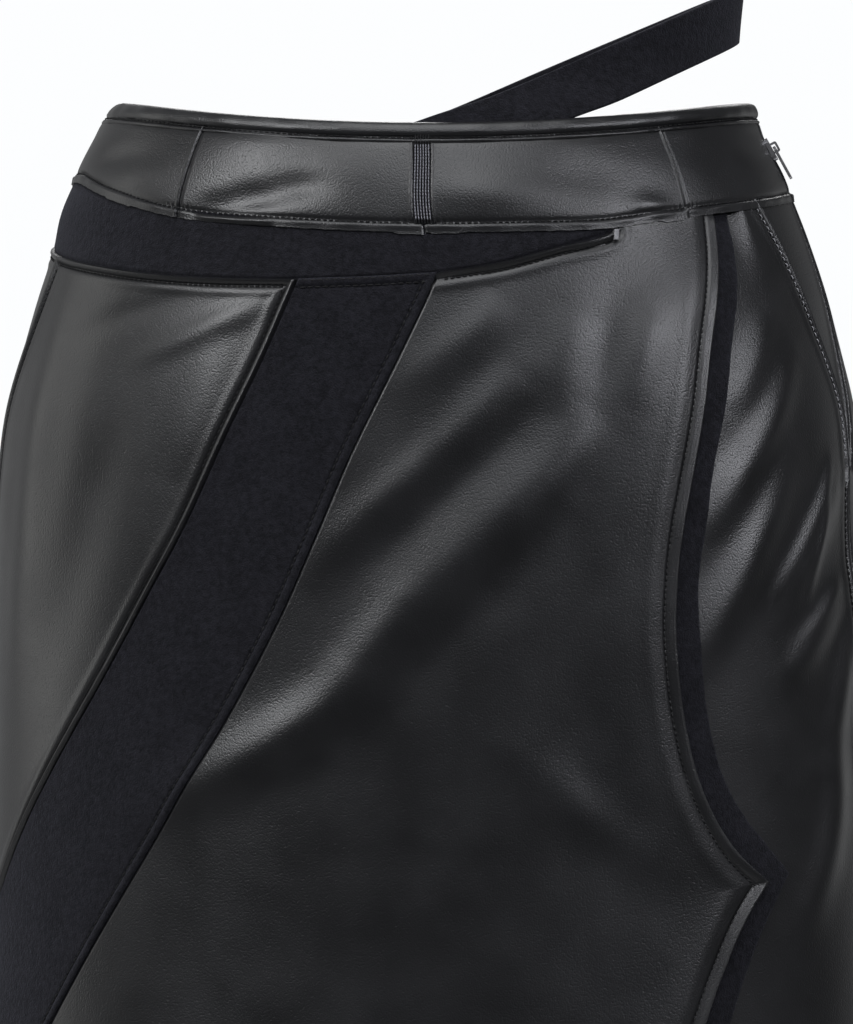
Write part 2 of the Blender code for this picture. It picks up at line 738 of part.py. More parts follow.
# The flat slider stays clear of the curved band under its two long edges.
SLIDER_CLEAR = 0.55
BRIDGE_WIDE = 1.4
BRIDGE_WINDOW = (2.8, 1.8)
BRIDGE_THICK = 0.9
BRIDGE_SUNK = 0.6
BRIDGE_CORNER = 0.8
WINDOW_CORNER = 0.3
TAB_WIDE = 5.0
TAB_LONG = 15.0
TAB_THICK = 1.0
TAB_CORNER = 1.6
TAB_WINDOW = (2.5, 3.8)
CORNER_POINTS = 4


def zip_axes():
    """The zip's place over the waistband and its axes, as a matrix in metres."""
    base = form_point(ZIP_SIDE, ZIP_DROP)
    out = outward(ZIP_SIDE, ZIP_DROP)
    down = form_point(ZIP_SIDE, ZIP_DROP + 6) - form_point(ZIP_SIDE, ZIP_DROP - 6)
    down = down - out * np.dot(down, out)
    down = down / np.linalg.norm(down)
    along = np.cross(down, out)
    at = (base + out * (BAND_PROUD + SLIDER_CLEAR)) * MM
    axes = Matrix.Identity(4)
    for row in range(3):
        axes[row][0], axes[row][1], axes[row][2], axes[row][3] = (
            along[row], down[row], out[row], at[row],
        )
    return axes


def rounded_outline(wide, long, radius, centre=(0.0, 0.0)):
    """A rectangle with round corners, once round, as points in millimetres."""
    points = []
    for corner in range(4):
        angle = math.radians(90.0 * corner)
        side_x = 1 if corner in (0, 3) else -1
        side_y = 1 if corner in (0, 1) else -1
        middle = (centre[0] + side_x * (wide / 2 - radius), centre[1] + side_y * (long / 2 - radius))
        for step in range(CORNER_POINTS):
            part = angle + math.radians(90.0 * step / (CORNER_POINTS - 1))
            points.append((middle[0] + radius * math.cos(part), middle[1] + radius * math.sin(part)))
    return points


def plate(name, outline, low, high, window=None):
    """A flat plate with an optional window, as an object at its own origin."""
    vertices = [(x, y, z) for z in (low, high) for x, y in outline]
    count = len(outline)
    faces = [(k, (k + 1) % count, (k + 1) % count + count, k + count) for k in range(count)]
    if window is None:
        faces += [tuple(range(count)), tuple(range(count, 2 * count))]
    else:
        vertices += [(x, y, z) for z in (low, high) for x, y in window]
        for k in range(count):
            nxt = (k + 1) % count
            inner, inner_nxt = 2 * count + k, 2 * count + nxt
            faces.append((k, nxt, inner_nxt, inner))
            faces.append((k + count, nxt + count, inner_nxt + count, inner + count))
            faces.append((inner, inner_nxt, inner_nxt + count, inner + count))
    return add_object(name, np.array(vertices) * MM, faces, STEEL)


def bar_height():
    """The height of the pull tab's pivot over the slider's underside."""
    return SLIDER_THICK + BRIDGE_WINDOW[1] / 2


def zip_slider(axes):
    """The slider's body, with the bridge that holds the tab joined to it."""
    body = plate(
        "zip_slider", rounded_outline(SLIDER_WIDE, SLIDER_LONG, SLIDER_CORNER), 0.0, SLIDER_THICK,
    )
    window_long, window_tall = BRIDGE_WINDOW
    sunk = SLIDER_THICK - BRIDGE_SUNK
    ring_tall = window_tall + BRIDGE_THICK + BRIDGE_SUNK
    ring = rounded_outline(
        window_long + 2 * BRIDGE_THICK, ring_tall + BRIDGE_THICK, BRIDGE_CORNER,
        (0.0, sunk + ring_tall / 2 - BRIDGE_THICK / 2),
    )
    hole_tall = window_tall + BRIDGE_SUNK / 2
    hole_middle = SLIDER_THICK + window_tall - hole_tall / 2
    hole = rounded_outline(window_long, hole_tall, WINDOW_CORNER, (0.0, hole_middle))
    bridge = plate("bridge_shape", ring, -BRIDGE_WIDE / 2, BRIDGE_WIDE / 2, hole)
    bridge.matrix_world = axes @ Matrix(((0, 0, 1, 0), (1, 0, 0, 0), (0, 1, 0, 0), (0, 0, 0, 1)))
    bridge.hide_render = True
    bridge.display_type = "WIRE"
    body.matrix_world = axes
    union = body.modifiers.new("bridge", "BOOLEAN")
    union.operation = "UNION"
    union.solver = "EXACT"
    union.object = bridge


def zip_pull_tab(axes):
    """The pull tab, whose top bar turns inside the slider's bridge."""
    window_wide, window_long = TAB_WINDOW
    half_bar = TAB_THICK / 2
    outline = rounded_outline(TAB_WIDE, TAB_LONG, TAB_CORNER, (0.0, TAB_LONG / 2 - half_bar))
    window_middle = (0.0, half_bar + window_long / 2)
    window = rounded_outline(window_wide, window_long, WINDOW_CORNER, window_middle)
    tab = plate("zip_pull_tab", outline, -half_bar, half_bar, window)
    tab.matrix_world = axes @ Matrix.Translation((0.0, 0.0, bar_height() * MM))


# --- the whole skirt ---

def build_skirt():
    """Clear the scene and make every piece."""
    for thing in list(bpy.data.objects):
        bpy.data.objects.remove(thing)
    waistband_piece("waistband_front_left", LEFT_BAND_SEAM, RIDGES[0])
    centre_front_ridges()
    waistband_piece("waistband_front_right", RIDGES[1], RIGHT_BAND_SEAM)
    waistband_piece("waistband_side_right", RIGHT_BAND_SEAM, ZIP_SIDE)
    waistband_piece("waistband_back_right", ZIP_SIDE, CENTRE_BACK)
    waistband_piece("waistband_back_left", -CENTRE_BACK, LEFT_SIDE)
    waistband_piece("waistband_side_left", LEFT_SIDE, LEFT_BAND_SEAM)
    waist_binding("waist_binding_front", LEFT_SIDE, ZIP_SIDE)
    waist_binding("waist_binding_back", ZIP_SIDE, LEFT_SIDE + 360.0)
    yoke_wool()
    panel_front_left()
    band_wool_diagonal()
    panel_front_centre()
    edge_wool_strip()
    panel_front_right()
    panel_hip_right()
    panel_back_right()
    panel_back_left()
    strap_wool()
    axes = zip_axes()
    zip_slider(axes)
    zip_pull_tab(axes)


build_skirt()
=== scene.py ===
import math

import bpy
import numpy as np
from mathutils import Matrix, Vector
from mathutils.kdtree import KDTree


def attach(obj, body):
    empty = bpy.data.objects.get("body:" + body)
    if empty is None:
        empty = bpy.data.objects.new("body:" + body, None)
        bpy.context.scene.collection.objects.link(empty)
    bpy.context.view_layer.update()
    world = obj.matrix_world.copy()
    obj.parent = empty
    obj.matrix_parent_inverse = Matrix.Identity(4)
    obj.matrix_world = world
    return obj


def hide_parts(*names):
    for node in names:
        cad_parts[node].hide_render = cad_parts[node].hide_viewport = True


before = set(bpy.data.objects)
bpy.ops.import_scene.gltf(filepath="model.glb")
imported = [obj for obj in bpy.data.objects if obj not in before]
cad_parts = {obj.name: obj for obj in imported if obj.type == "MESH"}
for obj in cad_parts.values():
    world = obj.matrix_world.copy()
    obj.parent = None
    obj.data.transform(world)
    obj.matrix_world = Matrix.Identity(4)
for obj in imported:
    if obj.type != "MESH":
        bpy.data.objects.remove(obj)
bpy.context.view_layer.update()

# Asymmetric midi skirt of imitation leather and wool, worn. The front faces -Y and +X is
# on the right. A place on the cloth is a (turn, drop): the degrees round the waist from
# centre front, and the millimetres below the waist. Heights are outward from the leather.

# ------------------------------
# Waist binding
# A strip of imitation leather, folded round the waist's top edge into a soft roll and
# topstitched along its lower side, in a front and a back length.

MM = 0.001
MM_PER_TURN = 2.75
LEFT_SIDE, ZIP_SIDE = -89.0, 84.0

# The smooth form of the worn skirt, as an oval at each drop.
FORM = (
    # drop, half_width, front_depth, back_depth, shift
    (-60, 129.5, 92, 95, 0.5),
    (0, 129.5, 92, 95, 0.5),
    (6, 133, 95, 97, -1.5),
    (15, 136.5, 98, 100, -2.5),
    (30, 144.5, 103, 106, -2.5),
    (45, 151, 107, 112, -2.5),
    (60, 155.5, 110, 117, -1.2),
    (80, 162, 113.5, 124, -1),
    (100, 167.5, 116.5, 130, -1.2),
    (125, 173.5, 119.5, 135.5, -1.3),
    (155, 177, 122, 139, -1.3),
    (190, 179, 124, 139.5, -1),
    (250, 181, 126.5, 138, 0),
    (350, 185, 131, 139, 0),
    (560, 197, 144, 149, 0),
    (830, 214, 160, 163, 0),
)
# Folds pull from the hips down towards the left, and softer ones hang at the back.
FOLDS = (
    # turn_1, drop_1, turn_2, drop_2, turn_3, drop_3, height, half_width
    (10, 84, 6, 98, -3, 116, 1.7, 8),
    (12, 112, 3, 142, -14, 186, 2.5, 9),
    (13, 122, 2, 158, -10, 190, -1.6, 8),
    (22, 128, 9, 174, -10, 226, 4.2, 12),
    (-3, 206, -11, 254, -40, 284, 3.6, 11),
    (17, 162, 6, 198, -8, 240, -1.8, 13),
    (20, 88, 18, 108, 15, 130, 1.5, 10),
    (31, 88, 29, 106, 26, 128, 1.8, 9),
    (6, 252, 20, 288, 28, 308, 1.1, 9),
    (55, 90, 49, 107, 43, 128, 2, 8),
    (58.5, 104, 47, 143, 36, 178, 2.7, 8.5),
    (54, 146, 44.5, 187, 34, 228, 2.8, 9),
    (67, 152, 60, 178, 51, 204, 2, 7),
    (67, 196, 60, 214, 51, 232, 2, 7),
    (75, 176, 66, 225, 61, 266, 2.6, 9),
    (61, 258, 65, 288, 52, 334, 2.4, 10),
    (65.5, 146, 62, 162, 49, 200, 1.1, 3.2),
    (63, 160, 60, 180, 56, 204, 0.8, 2.8),
    (65.5, 194, 62, 203, 53.5, 220, 0.8, 2.8),
    (-23, 84, -32, 95, -44, 107, 1.2, 5),
    (-36, 82, -46, 88, -57, 93, -0.9, 5),
    (-66, 80, -64, 150, -70, 240, 1.6, 14),
    (-44, 100, -48, 170, -60, 230, -1.4, 16),
    (-30, 96, -31, 125, -35, 156, 1.2, 12),
    (-104, 92, -116, 150, -122, 230, 2.8, 10),
    (-122, 84, -130, 118, -134, 168, 2.2, 8),
    (-140, 88, -146, 135, -160, 190, 2.6, 10),
    (-100, 186, -114, 250, -140, 296, 2.8, 11),
    (-126, 262, -146, 330, -168, 384, 2.8, 13),
    (102, 80, 114, 140, 120, 214, 2.8, 10),
    (122, 82, 130, 116, 137, 162, 2, 8),
    (140, 84, 148, 130, 160, 178, 2.6, 9),
    (98, 176, 114, 236, 140, 280, 2.8, 11),
    (100, 262, 124, 320, 150, 362, 2.8, 12),
    (96, 402, 128, 470, 160, 520, 2.4, 14),
)
FOLD_SAMPLES, FOLD_END_SHARE = 13, 0.25
HEM_DROP = 780.0
FLARE_START, FLARE_HEIGHT, FLARE_POWER = 380.0, 6.5, 1.4
FLARE_WAVES = (
    # waves round the hem, phase, part of the height
    (7, 20, 0.65), (11, 75, 0.35),
)
WAIST_DIP_FRONT, WAIST_DIP_BACK = 13.5, 5.0
SHARP_ANGLE = 50.0


def bump_at(distance, half_width):
    """A soft bell, 1 at no distance."""
    return np.exp(-(np.asarray(distance) / half_width)**2)


def read_smooth(table, key):
    """The values beside a table's keys, on a smooth line through its rows."""
    table = np.asarray(table, dtype=float)
    keys, values = table[:, 0], table[:, 1:]
    key = np.asarray(key, dtype=float)
    place = np.clip(np.searchsorted(keys, key) - 1, 0, len(keys) - 2)
    steps = np.diff(keys)
    slopes = np.diff(values, axis=0) / steps[:, None]
    before, after = steps[:-1, None], steps[1:, None]
    inner = (slopes[:-1] * after + slopes[1:] * before) / (before + after)
    tangents = np.concatenate((slopes[:1], inner, slopes[-1:]))
    step = steps[place][..., None]
    t = np.clip((key - keys[place]) / steps[place], 0.0, 1.0)[..., None]
    return (
        values[place] * (2 * t**3 - 3 * t**2 + 1) + tangents[place] * step * (t**3 - 2 * t**2 + t)
        + values[place + 1] * (3 * t**2 - 2 * t**3)
        + tangents[place + 1] * step * (t**3 - t**2)
    )


def wrapped(turn):
    """The same turn between -180 and 180."""
    return (np.asarray(turn, dtype=float) + 180.0) % 360.0 - 180.0


def form(turn, drop):
    """The smooth worn form, in millimetres."""
    half_width, front_depth, back_depth, shift = np.moveaxis(read_smooth(FORM, drop), -1, 0)
    angle = np.radians(turn)
    depth = np.where(np.cos(angle) >= 0, front_depth, back_depth)
    x = shift + half_width * np.sin(angle)
    return np.stack((x, -depth * np.cos(angle), -np.asarray(drop, dtype=float) + 0 * x), axis=-1)


def unit(vectors):
    """The same directions, one long."""
    return vectors / np.linalg.norm(vectors, axis=-1, keepdims=True)


def outward(turn, drop):
    """The direction straight out of the cloth."""
    round_waist = form(turn + 0.5, drop) - form(turn - 0.5, drop)
    downward = form(turn, drop + 1.0) - form(turn, drop - 1.0)
    return unit(np.cross(downward, round_waist))


def folds(turn, drop):
    """How far the folds and the flare lift the cloth."""
    lift = np.zeros(np.broadcast(turn, drop).shape)
    shares = np.linspace(0.0, 1.0, FOLD_SAMPLES)
    for turn_1, drop_1, turn_2, drop_2, turn_3, drop_3, ridge, half_width in FOLDS:
        a, b, c = (1 - shares)**2, 2 * shares * (1 - shares), shares**2
        path = np.stack((
            (a * turn_1 + b * turn_2 + c * turn_3) * MM_PER_TURN,
            a * drop_1 + b * drop_2 + c * drop_3,
        ), axis=-1)
        nearest = np.full(lift.shape, np.inf)
        share = np.zeros(lift.shape)
        for k, (start, end) in enumerate(zip(path, path[1:])):
            beside = wrapped(turn - start[0] / MM_PER_TURN) * MM_PER_TURN
            below = drop - start[1]
            run = end - start
            along = np.clip((beside * run[0] + below * run[1]) / (run @ run), 0.0, 1.0)
            distance = np.hypot(beside - along * run[0], below - along * run[1])
            closer = distance < nearest
            nearest = np.where(closer, distance, nearest)
            share = np.where(closer, (k + along) / (len(path) - 1), share)
        swell = FOLD_END_SHARE + 3 * share * (1 - share)
        lift = lift + ridge * bump_at(nearest, half_width) * swell
    ramp = np.clip((drop - FLARE_START) / (HEM_DROP - FLARE_START), 0.0, None)
    for waves_round, phase, part in FLARE_WAVES:
        wave = np.sin(np.radians(waves_round * turn + phase))
        lift = lift + FLARE_HEIGHT * part * ramp**FLARE_POWER * wave
    return lift


def cloth(turn, drop, height=0.0):
    """Points over the folded cloth, in millimetres."""
    turn, drop = np.asarray(turn, dtype=float), np.asarray(drop, dtype=float)
    lift = folds(turn, drop) + height
    return form(turn, drop) + outward(turn, drop) * lift[..., None]


def on_cloth(places, height=0.0):
    """Points over the folded cloth at (turn, drop) places."""
    return cloth(places[..., 0], places[..., 1], height)


def waist_edge(turn):
    """The drop of the waist's top edge."""
    across = np.cos(np.radians(turn))
    return np.where(across >= 0, WAIST_DIP_FRONT, WAIST_DIP_BACK) * across**2


def add_object(name, data):
    """Put a mesh, a lamp or a camera into the scene."""
    made = bpy.data.objects.new(name, data)
    bpy.context.scene.collection.objects.link(made)
    return made


def add_mesh(name, points, faces, *finishes):
    """A piece from points in millimetres and faces, with its materials."""
    mesh = bpy.data.meshes.new(name)
    mesh.from_pydata((np.asarray(points) * MM).tolist(), [], faces)
    for finish in finishes:
        mesh.materials.append(finish)
    return add_object(name, mesh)


def sheet_mesh(name, outer, inner, finish, back):
    """A closed sheet of cloth between two grids of points, in millimetres."""
    rows, columns = outer.shape[:2]
    count = rows * columns
    index = np.arange(count).reshape(rows, columns)
    front = np.stack((index[:-1, :-1], index[1:, :-1], index[1:, 1:], index[:-1, 1:]), -1)
    front = front.reshape(-1, 4)
    loop = np.concatenate((index[0, :-1], index[:-1, -1], index[-1, :0:-1], index[:0:-1, 0]))
    following = np.roll(loop, -1)
    rim = np.stack((loop, following, following + count, loop + count), -1)
    faces = np.concatenate((front, rim, front[:, ::-1] + count))
    points = np.concatenate((outer.reshape(-1, 3), inner.reshape(-1, 3)))
    piece = add_mesh(name, points, faces.tolist(), finish, back)
    slots = np.zeros(len(faces), dtype=np.int32)
    slots[len(front) + len(rim):] = 1
    piece.data.polygons.foreach_set("material_index", slots)
    piece.data.shade_smooth()
    piece.data.set_sharp_from_angle(angle=math.radians(SHARP_ANGLE))
    return piece


def lay(piece, node, slot, **how):
    """Let a sheet of cloth stand for its solid on the skirt."""
    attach(piece, "skirt")
    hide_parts(node)


class Wire:
    """One value in a material, on which arithmetic adds the Math nodes that it needs."""

    def __init__(self, tree, socket=None):
        self.tree = tree
        self.socket = socket

    def node(self, kind, settings, sockets, out=0):
        """Add a node: its settings first, then its sockets' values or links."""
        made = self.tree.nodes.new("ShaderNode" + kind)
        for name, value in settings.items():
            setattr(made, name, value)
        for name, value in sockets.items():
            if isinstance(value, Wire):
                self.tree.links.new(value.socket, made.inputs[name])
            else:
                made.inputs[name].default_value = value
        return Wire(self.tree, made.outputs[out])

    def math(self, operation, first, second):
        """One Math node on two values."""
        return self.node("Math", {"operation": operation}, {0: first, 1: second})

    def __add__(self, other):
        return self.math("ADD", self, other)

    def __sub__(self, other):
        return self.math("SUBTRACT", self, other)

    def __rsub__(self, other):
        return self.math("SUBTRACT", other, self)

    def __mul__(self, other):
        return self.math("MULTIPLY", self, other)

    __radd__ = __add__
    __rmul__ = __mul__

    def between(self, low, high):
        """0 below low, 1 above high."""
        return self.node("MapRange", {}, {"Value": self, "From Min": low, "From Max": high})

    def noise(self, scale, detail=2.0):
        """Noise of about 1/scale metres over a position."""
        return self.node("TexNoise", {}, {"Vector": self, "Scale": scale, "Detail": detail})

    def mix(self, low, high):
        """One colour where this is 0, the other where it is 1."""
        return self.node(
            "Mix", {"data_type": "RGBA"}, {0: self, 6: (*low, 1.0), 7: (*high, 1.0)}, 2,
        )

    def bump(self, strength, distance):
        """A bump of a height in metres, for Normal."""
        return self.node(
            "Bump", {}, {"Strength": strength, "Distance": distance, "Height": self},
        )


def new_material(name, constants):
    """A Principled material with fixed values, and the position that its nodes start at."""
    material = bpy.data.materials.new(name)
    material.use_nodes = True
    tree = material.node_tree
    shader = tree.nodes["Principled BSDF"]
    for socket, value in constants.items():
        shader.inputs[socket].default_value = value
    position = Wire(tree).node("TexCoord", {}, {}, "Object")
    return material, shader, position


def feed(shader, **links):
    """Link wires to the shader's sockets, named with _ for a space."""
    for socket, wire in links.items():
        wire.tree.links.new(wire.socket, shader.inputs[socket.replace("_", " ")])


# How many of each there are in a metre of the surface.
PEBBLES, PORES, PATCHES = 1450.0, 2600.0, 38.0
WALES, FUZZ, TWISTS = 240.0, 2600.0, 5200.0


def leather_finish(name, dark, light, roughness, grain):
    """Imitation leather: fine pebbles with a semi-gloss film, slightly mottled."""
    material, shader, position = new_material(name, {"IOR": 1.5, "Specular IOR Level": 0.5})
    pebbles = position.node(
        "TexVoronoi", {}, {"Vector": position, "Scale": PEBBLES}, "Distance",
    )
    pores = position.noise(PORES, 1.0)
    patches = position.noise(PATCHES, 2.0).between(0.3, 0.7)
    height = 0.9 - 0.75 * pebbles * pebbles + 0.12 * pores
    feed(
        shader,
        Base_Color=(0.6 * patches + 0.4 * pores).mix(dark, light),
        Roughness=roughness + 0.07 * patches + 0.06 * pores,
        Normal=height.bump(grain, 0.00011),
    )
    return material


def knit_finish(name, dark, light):
    """The fine knitted backing on the inside of the imitation leather."""
    material, shader, position = new_material(name, {"Specular IOR Level": 0.15})
    wales = position.node(
        "TexWave", {"bands_direction": "DIAGONAL"},
        {"Vector": position, "Scale": WALES, "Distortion": 1.5, "Detail": 1.0},
    )
    fuzz = position.noise(FUZZ, 3.0)
    feed(
        shader,
        Base_Color=(0.5 * wales + 0.5 * fuzz).mix(dark, light),
        Roughness=0.85 + 0.1 * fuzz,
        Normal=(0.6 * wales + 0.4 * fuzz).bump(0.5, 0.0002),
    )
    return material


leather = leather_finish(
    "leather_pebbled", dark=(0.0034, 0.0035, 0.0042), light=(0.0075, 0.0077, 0.0090),
    roughness=0.28, grain=0.85,
)
knit_backing = knit_finish(
    "knit_backing", dark=(0.016, 0.016, 0.018), light=(0.045, 0.045, 0.049),
)


def thread_finish(name, dark, light):
    """Twisted polyester thread with a dull shine."""
    material, shader, position = new_material(name, {"Specular IOR Level": 0.25})
    twist = position.noise(TWISTS, 1.0)
    feed(
        shader,
        Base_Color=twist.mix(dark, light),
        Roughness=0.5 + 0.2 * twist,
        Normal=twist.bump(0.4, 0.0001),
    )
    return material


black_thread = thread_finish(
    "thread_black", dark=(0.002, 0.002, 0.002), light=(0.010, 0.010, 0.011),
)


def stitch_points(places, height, pitch, length, thick):
    """Points and faces of a row of stitches that dips into the cloth between them."""
    places = np.asarray(places, dtype=float)
    line = on_cloth(places, height)
    out = outward(places[:, 0], places[:, 1])
    run = np.concatenate(([0.0], np.cumsum(np.linalg.norm(np.diff(line, axis=0), axis=1))))
    count = int(run[-1] / pitch)
    starts = (run[-1] - count * pitch) / 2 + pitch * np.arange(count) + (pitch - length) / 2
    rings = np.array((0.0, 0.12, 0.5, 0.88, 1.0))
    rise = np.array((-0.55, 0.10, 0.35, 0.10, -0.55)) * thick
    girth = np.array((0.45, 0.95, 1.0, 0.95, 0.45)) * thick / 2
    sides = 6
    at = starts[:, None] + rings * length

    def along(values):
        return np.stack([np.interp(at, run, values[:, k]) for k in range(3)], axis=-1)

    centre, normal = along(line), unit(along(out))
    centre = centre + normal * rise[None, :, None]
    forward = unit(np.gradient(centre, axis=1))
    aside = unit(np.cross(forward, normal))
    angle = np.arange(sides) * 2 * math.pi / sides
    ring = (
        aside[:, :, None] * np.cos(angle)[None, None, :, None]
        + normal[:, :, None] * np.sin(angle)[None, None, :, None]
    ) * girth[None, :, None, None]
    points = (centre[:, :, None] + ring).reshape(-1, 3)
    faces = []
    for stitch in range(count):
        base = stitch * len(rings) * sides
        for i in range(len(rings) - 1):
            for j in range(sides):
                a, b = base + i * sides + j, base + i * sides + (j + 1) % sides
                faces.append((a, b, b + sides, a + sides))
        faces.append(tuple(base + j for j in reversed(range(sides))))
        faces.append(tuple(base + (len(rings) - 1) * sides + j for j in range(sides)))
    return points, faces


STITCH_PITCH, STITCH_LENGTH, THREAD_THICK = 2.45, 1.75, 0.5


def stitching(
    name, rows, finish, pitch=STITCH_PITCH, length=STITCH_LENGTH, thick=THREAD_THICK,
):
    """Rows of stitches as one piece; a row is its places and its height over the cloth."""
    points, faces = [], []
    for places, height in rows:
        more_points, more_faces = stitch_points(places, height, pitch, length, thick)
        base = sum(len(part) for part in points)
        faces += [tuple(base + corner for corner in face) for face in more_faces]
        points.append(more_points)
    piece = add_mesh(name, np.concatenate(points), faces, finish)
    piece.data.shade_smooth()
    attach(piece, "skirt")


BINDING_FOLD = (
    # below_edge, height: the folded strip's outer side, from inside, over the top, to its lip
    (8, -2.7), (6, -3), (4, -3.1), (2.2, -3), (0.9, -2.5), (0.15, -1.7), (-0.1, -0.9),
    (0.1, -0.1), (0.7, 0.7), (1.6, 1.25), (2.8, 1.55), (4.1, 1.6), (5.1, 1.35), (5.7, 0.75),
    (6.1, 0.1), (6.6, 0), (7, 0.5), (7.4, 1.1), (7.9, 1.25), (8.4, 0.9), (8.6, 0.3),
)
BINDING_THICK = 0.8
BINDING_STITCH, BINDING_PITCH, BINDING_STEP = 6.5, 1.15, 0.8


def binding(name, node, start, end, flat):
    """A length of the folded binding, swept along the top edge, puckered by its stitches."""
    turns = np.linspace(start, end, int((end - start) / BINDING_STEP))
    section = np.array(BINDING_FOLD)
    tangent = unit(np.gradient(section, axis=0))
    inside = section + np.stack((tangent[:, 1], -tangent[:, 0]), axis=-1) * BINDING_THICK
    layers = []
    for path in (section, inside):
        turn, below = np.meshgrid(turns, path[:, 0])
        pucker = 0.10 * np.sin(turn * 2 * math.pi / BINDING_PITCH)
        pucker = pucker * bump_at(below - BINDING_STITCH, 0.8)
        ease = 0.16 * np.sin(turn * 0.31) + 0.12 * np.sin(turn * 0.83 + 1.0)
        height = path[:, 1][:, None] + (pucker + ease) * (path[:, 1][:, None] > 0)
        layers.append(cloth(turn, waist_edge(turn) + below, height))
    piece = sheet_mesh(name, layers[0], layers[1], leather, knit_backing)
    lay(
        piece, node, "imitation_leather", flat=flat, held="folded",
        rests_on=["waistband_front_left", "waistband_back_left"],
    )


binding("binding_front", "waist_binding_front", LEFT_SIDE, ZIP_SIDE - 0.5, (0.345, 0.024))
binding("binding_back", "waist_binding_back", ZIP_SIDE + 0.5, LEFT_SIDE + 360.0, (0.377, 0.024))


def row_round(drop_at, start, end, height):
    """A row of stitches round the skirt, at a drop that follows the turn."""
    turns = np.linspace(start, end, 400)
    return np.stack((turns, drop_at(turns)), axis=-1), height


def binding_line(turn):
    """The drop of the binding's stitches."""
    return waist_edge(turn) + BINDING_STITCH


ends = (LEFT_SIDE, 83.0), (85.0, 270.5)
rows = [row_round(binding_line, start, end, 0.5) for start, end in ends]
stitching("thread_binding", rows, black_thread, length=1.8)

# ------------------------------
# Waistband
# Six cut pieces of the same leather round the waist. The panels are sewn to its lower
# edge with one row of stitches, and its raw allowance is left hanging over them as a lip.

LEFT_BAND_SEAM, RIGHT_BAND_SEAM, CENTRE_BACK = -41.0, 42.5, 180.0
RIDGES = (-2.4, 0.2)
BUTT_GAP, ZIP_GAP = 0.05, 0.6
BAND_SEAM = (
    # turn, drop
    (-180, 46), (-150, 44), (-135, 41.5), (-120, 38), (-104, 33), (-90, 29.5),
    (-76, 30), (-60, 37), (-40, 47), (-24, 51), (-3, 53.8), (14, 53.3),
    (27.4, 51.6), (34, 49.3), (42, 46.6), (62, 41.3), (84, 37), (110, 37.5), (135, 41.5),
    (155, 45), (180, 46),
)
BAND_TOP, BAND_HEIGHT, BAND_THICK = 5.6, 0.6, 0.8
# The length round the waist, as a share of that round the hips.
WAIST_SHARE = 0.9
ALLOWANCE, LIP_THICK, FLAP_LONG = 3.8, 0.65, 8
LIP_STEPS = (
    # from_turn, to_turn, how much longer the raw lip is between them
    (-5.6, 0.4, 0.9), (0.6, 4.2, 0.5), (36.9, 41.3, 0.8), (-60, -52, 0.5),
)
TURNED_LIP = (-38.0, -24.0)
# Shallow dents and swells, where the band is pulled over the waist.
BAND_DENTS = (
    # turn, drop, height, turns_wide, drops_tall
    (-62, 25, -1.3, 7, 4.5), (-52, 34, 0.8, 7, 6), (-76, 20, 0.5, 9, 8),
    (-31, 22, 1, 9, 9), (-34, 46.5, -1.5, 5, 5.5), (-27, 43, -1.8, 5, 5.5),
    (-20, 39, -1.3, 4.5, 5), (-13, 32, 0.4, 6, 8),
    (9, 42, 1.2, 9, 8), (24, 34, -0.8, 7, 8), (35.5, 46, 1.1, 3.5, 4), (52, 28, -0.6, 7, 8),
    (66, 26, 0.5, 8, 8), (110, 24, 0.6, 12, 8), (134, 30, -0.6, 12, 7), (160, 26, 0.5, 10, 9),
    (-160, 28, -0.5, 12, 8), (-130, 24, 0.6, 11, 7), (-108, 20, -0.4, 9, 7),
)


def soft_step(value):
    """Rise from 0 to 1 with no corner."""
    t = np.clip(value, 0.0, 1.0)
    return t * t * (3 - 2 * t)


def band_seam(turn):
    """The drop of the seam under the waistband."""
    return read_smooth(BAND_SEAM, wrapped(turn))[..., 0]


def turn_mm(turn, drop):
    """How many millimetres round the waist one degree is at a place."""
    return np.linalg.norm(form(turn + 0.5, drop) - form(turn - 0.5, drop), axis=-1)


def steps_from(end_spacing, middle_spacing, length, fine_reach):
    """Shares of a length, close together near both ends and wider between."""
    places = [0.0]
    while places[-1] < length / 2:
        reach = soft_step((places[-1] - fine_reach) / (2.5 * fine_reach + 1e-9))
        places.append(places[-1] + end_spacing + (middle_spacing - end_spacing) * reach)
    half = np.array(places[:-1]) / length
    return np.concatenate((half, 1.0 - half[::-1]))


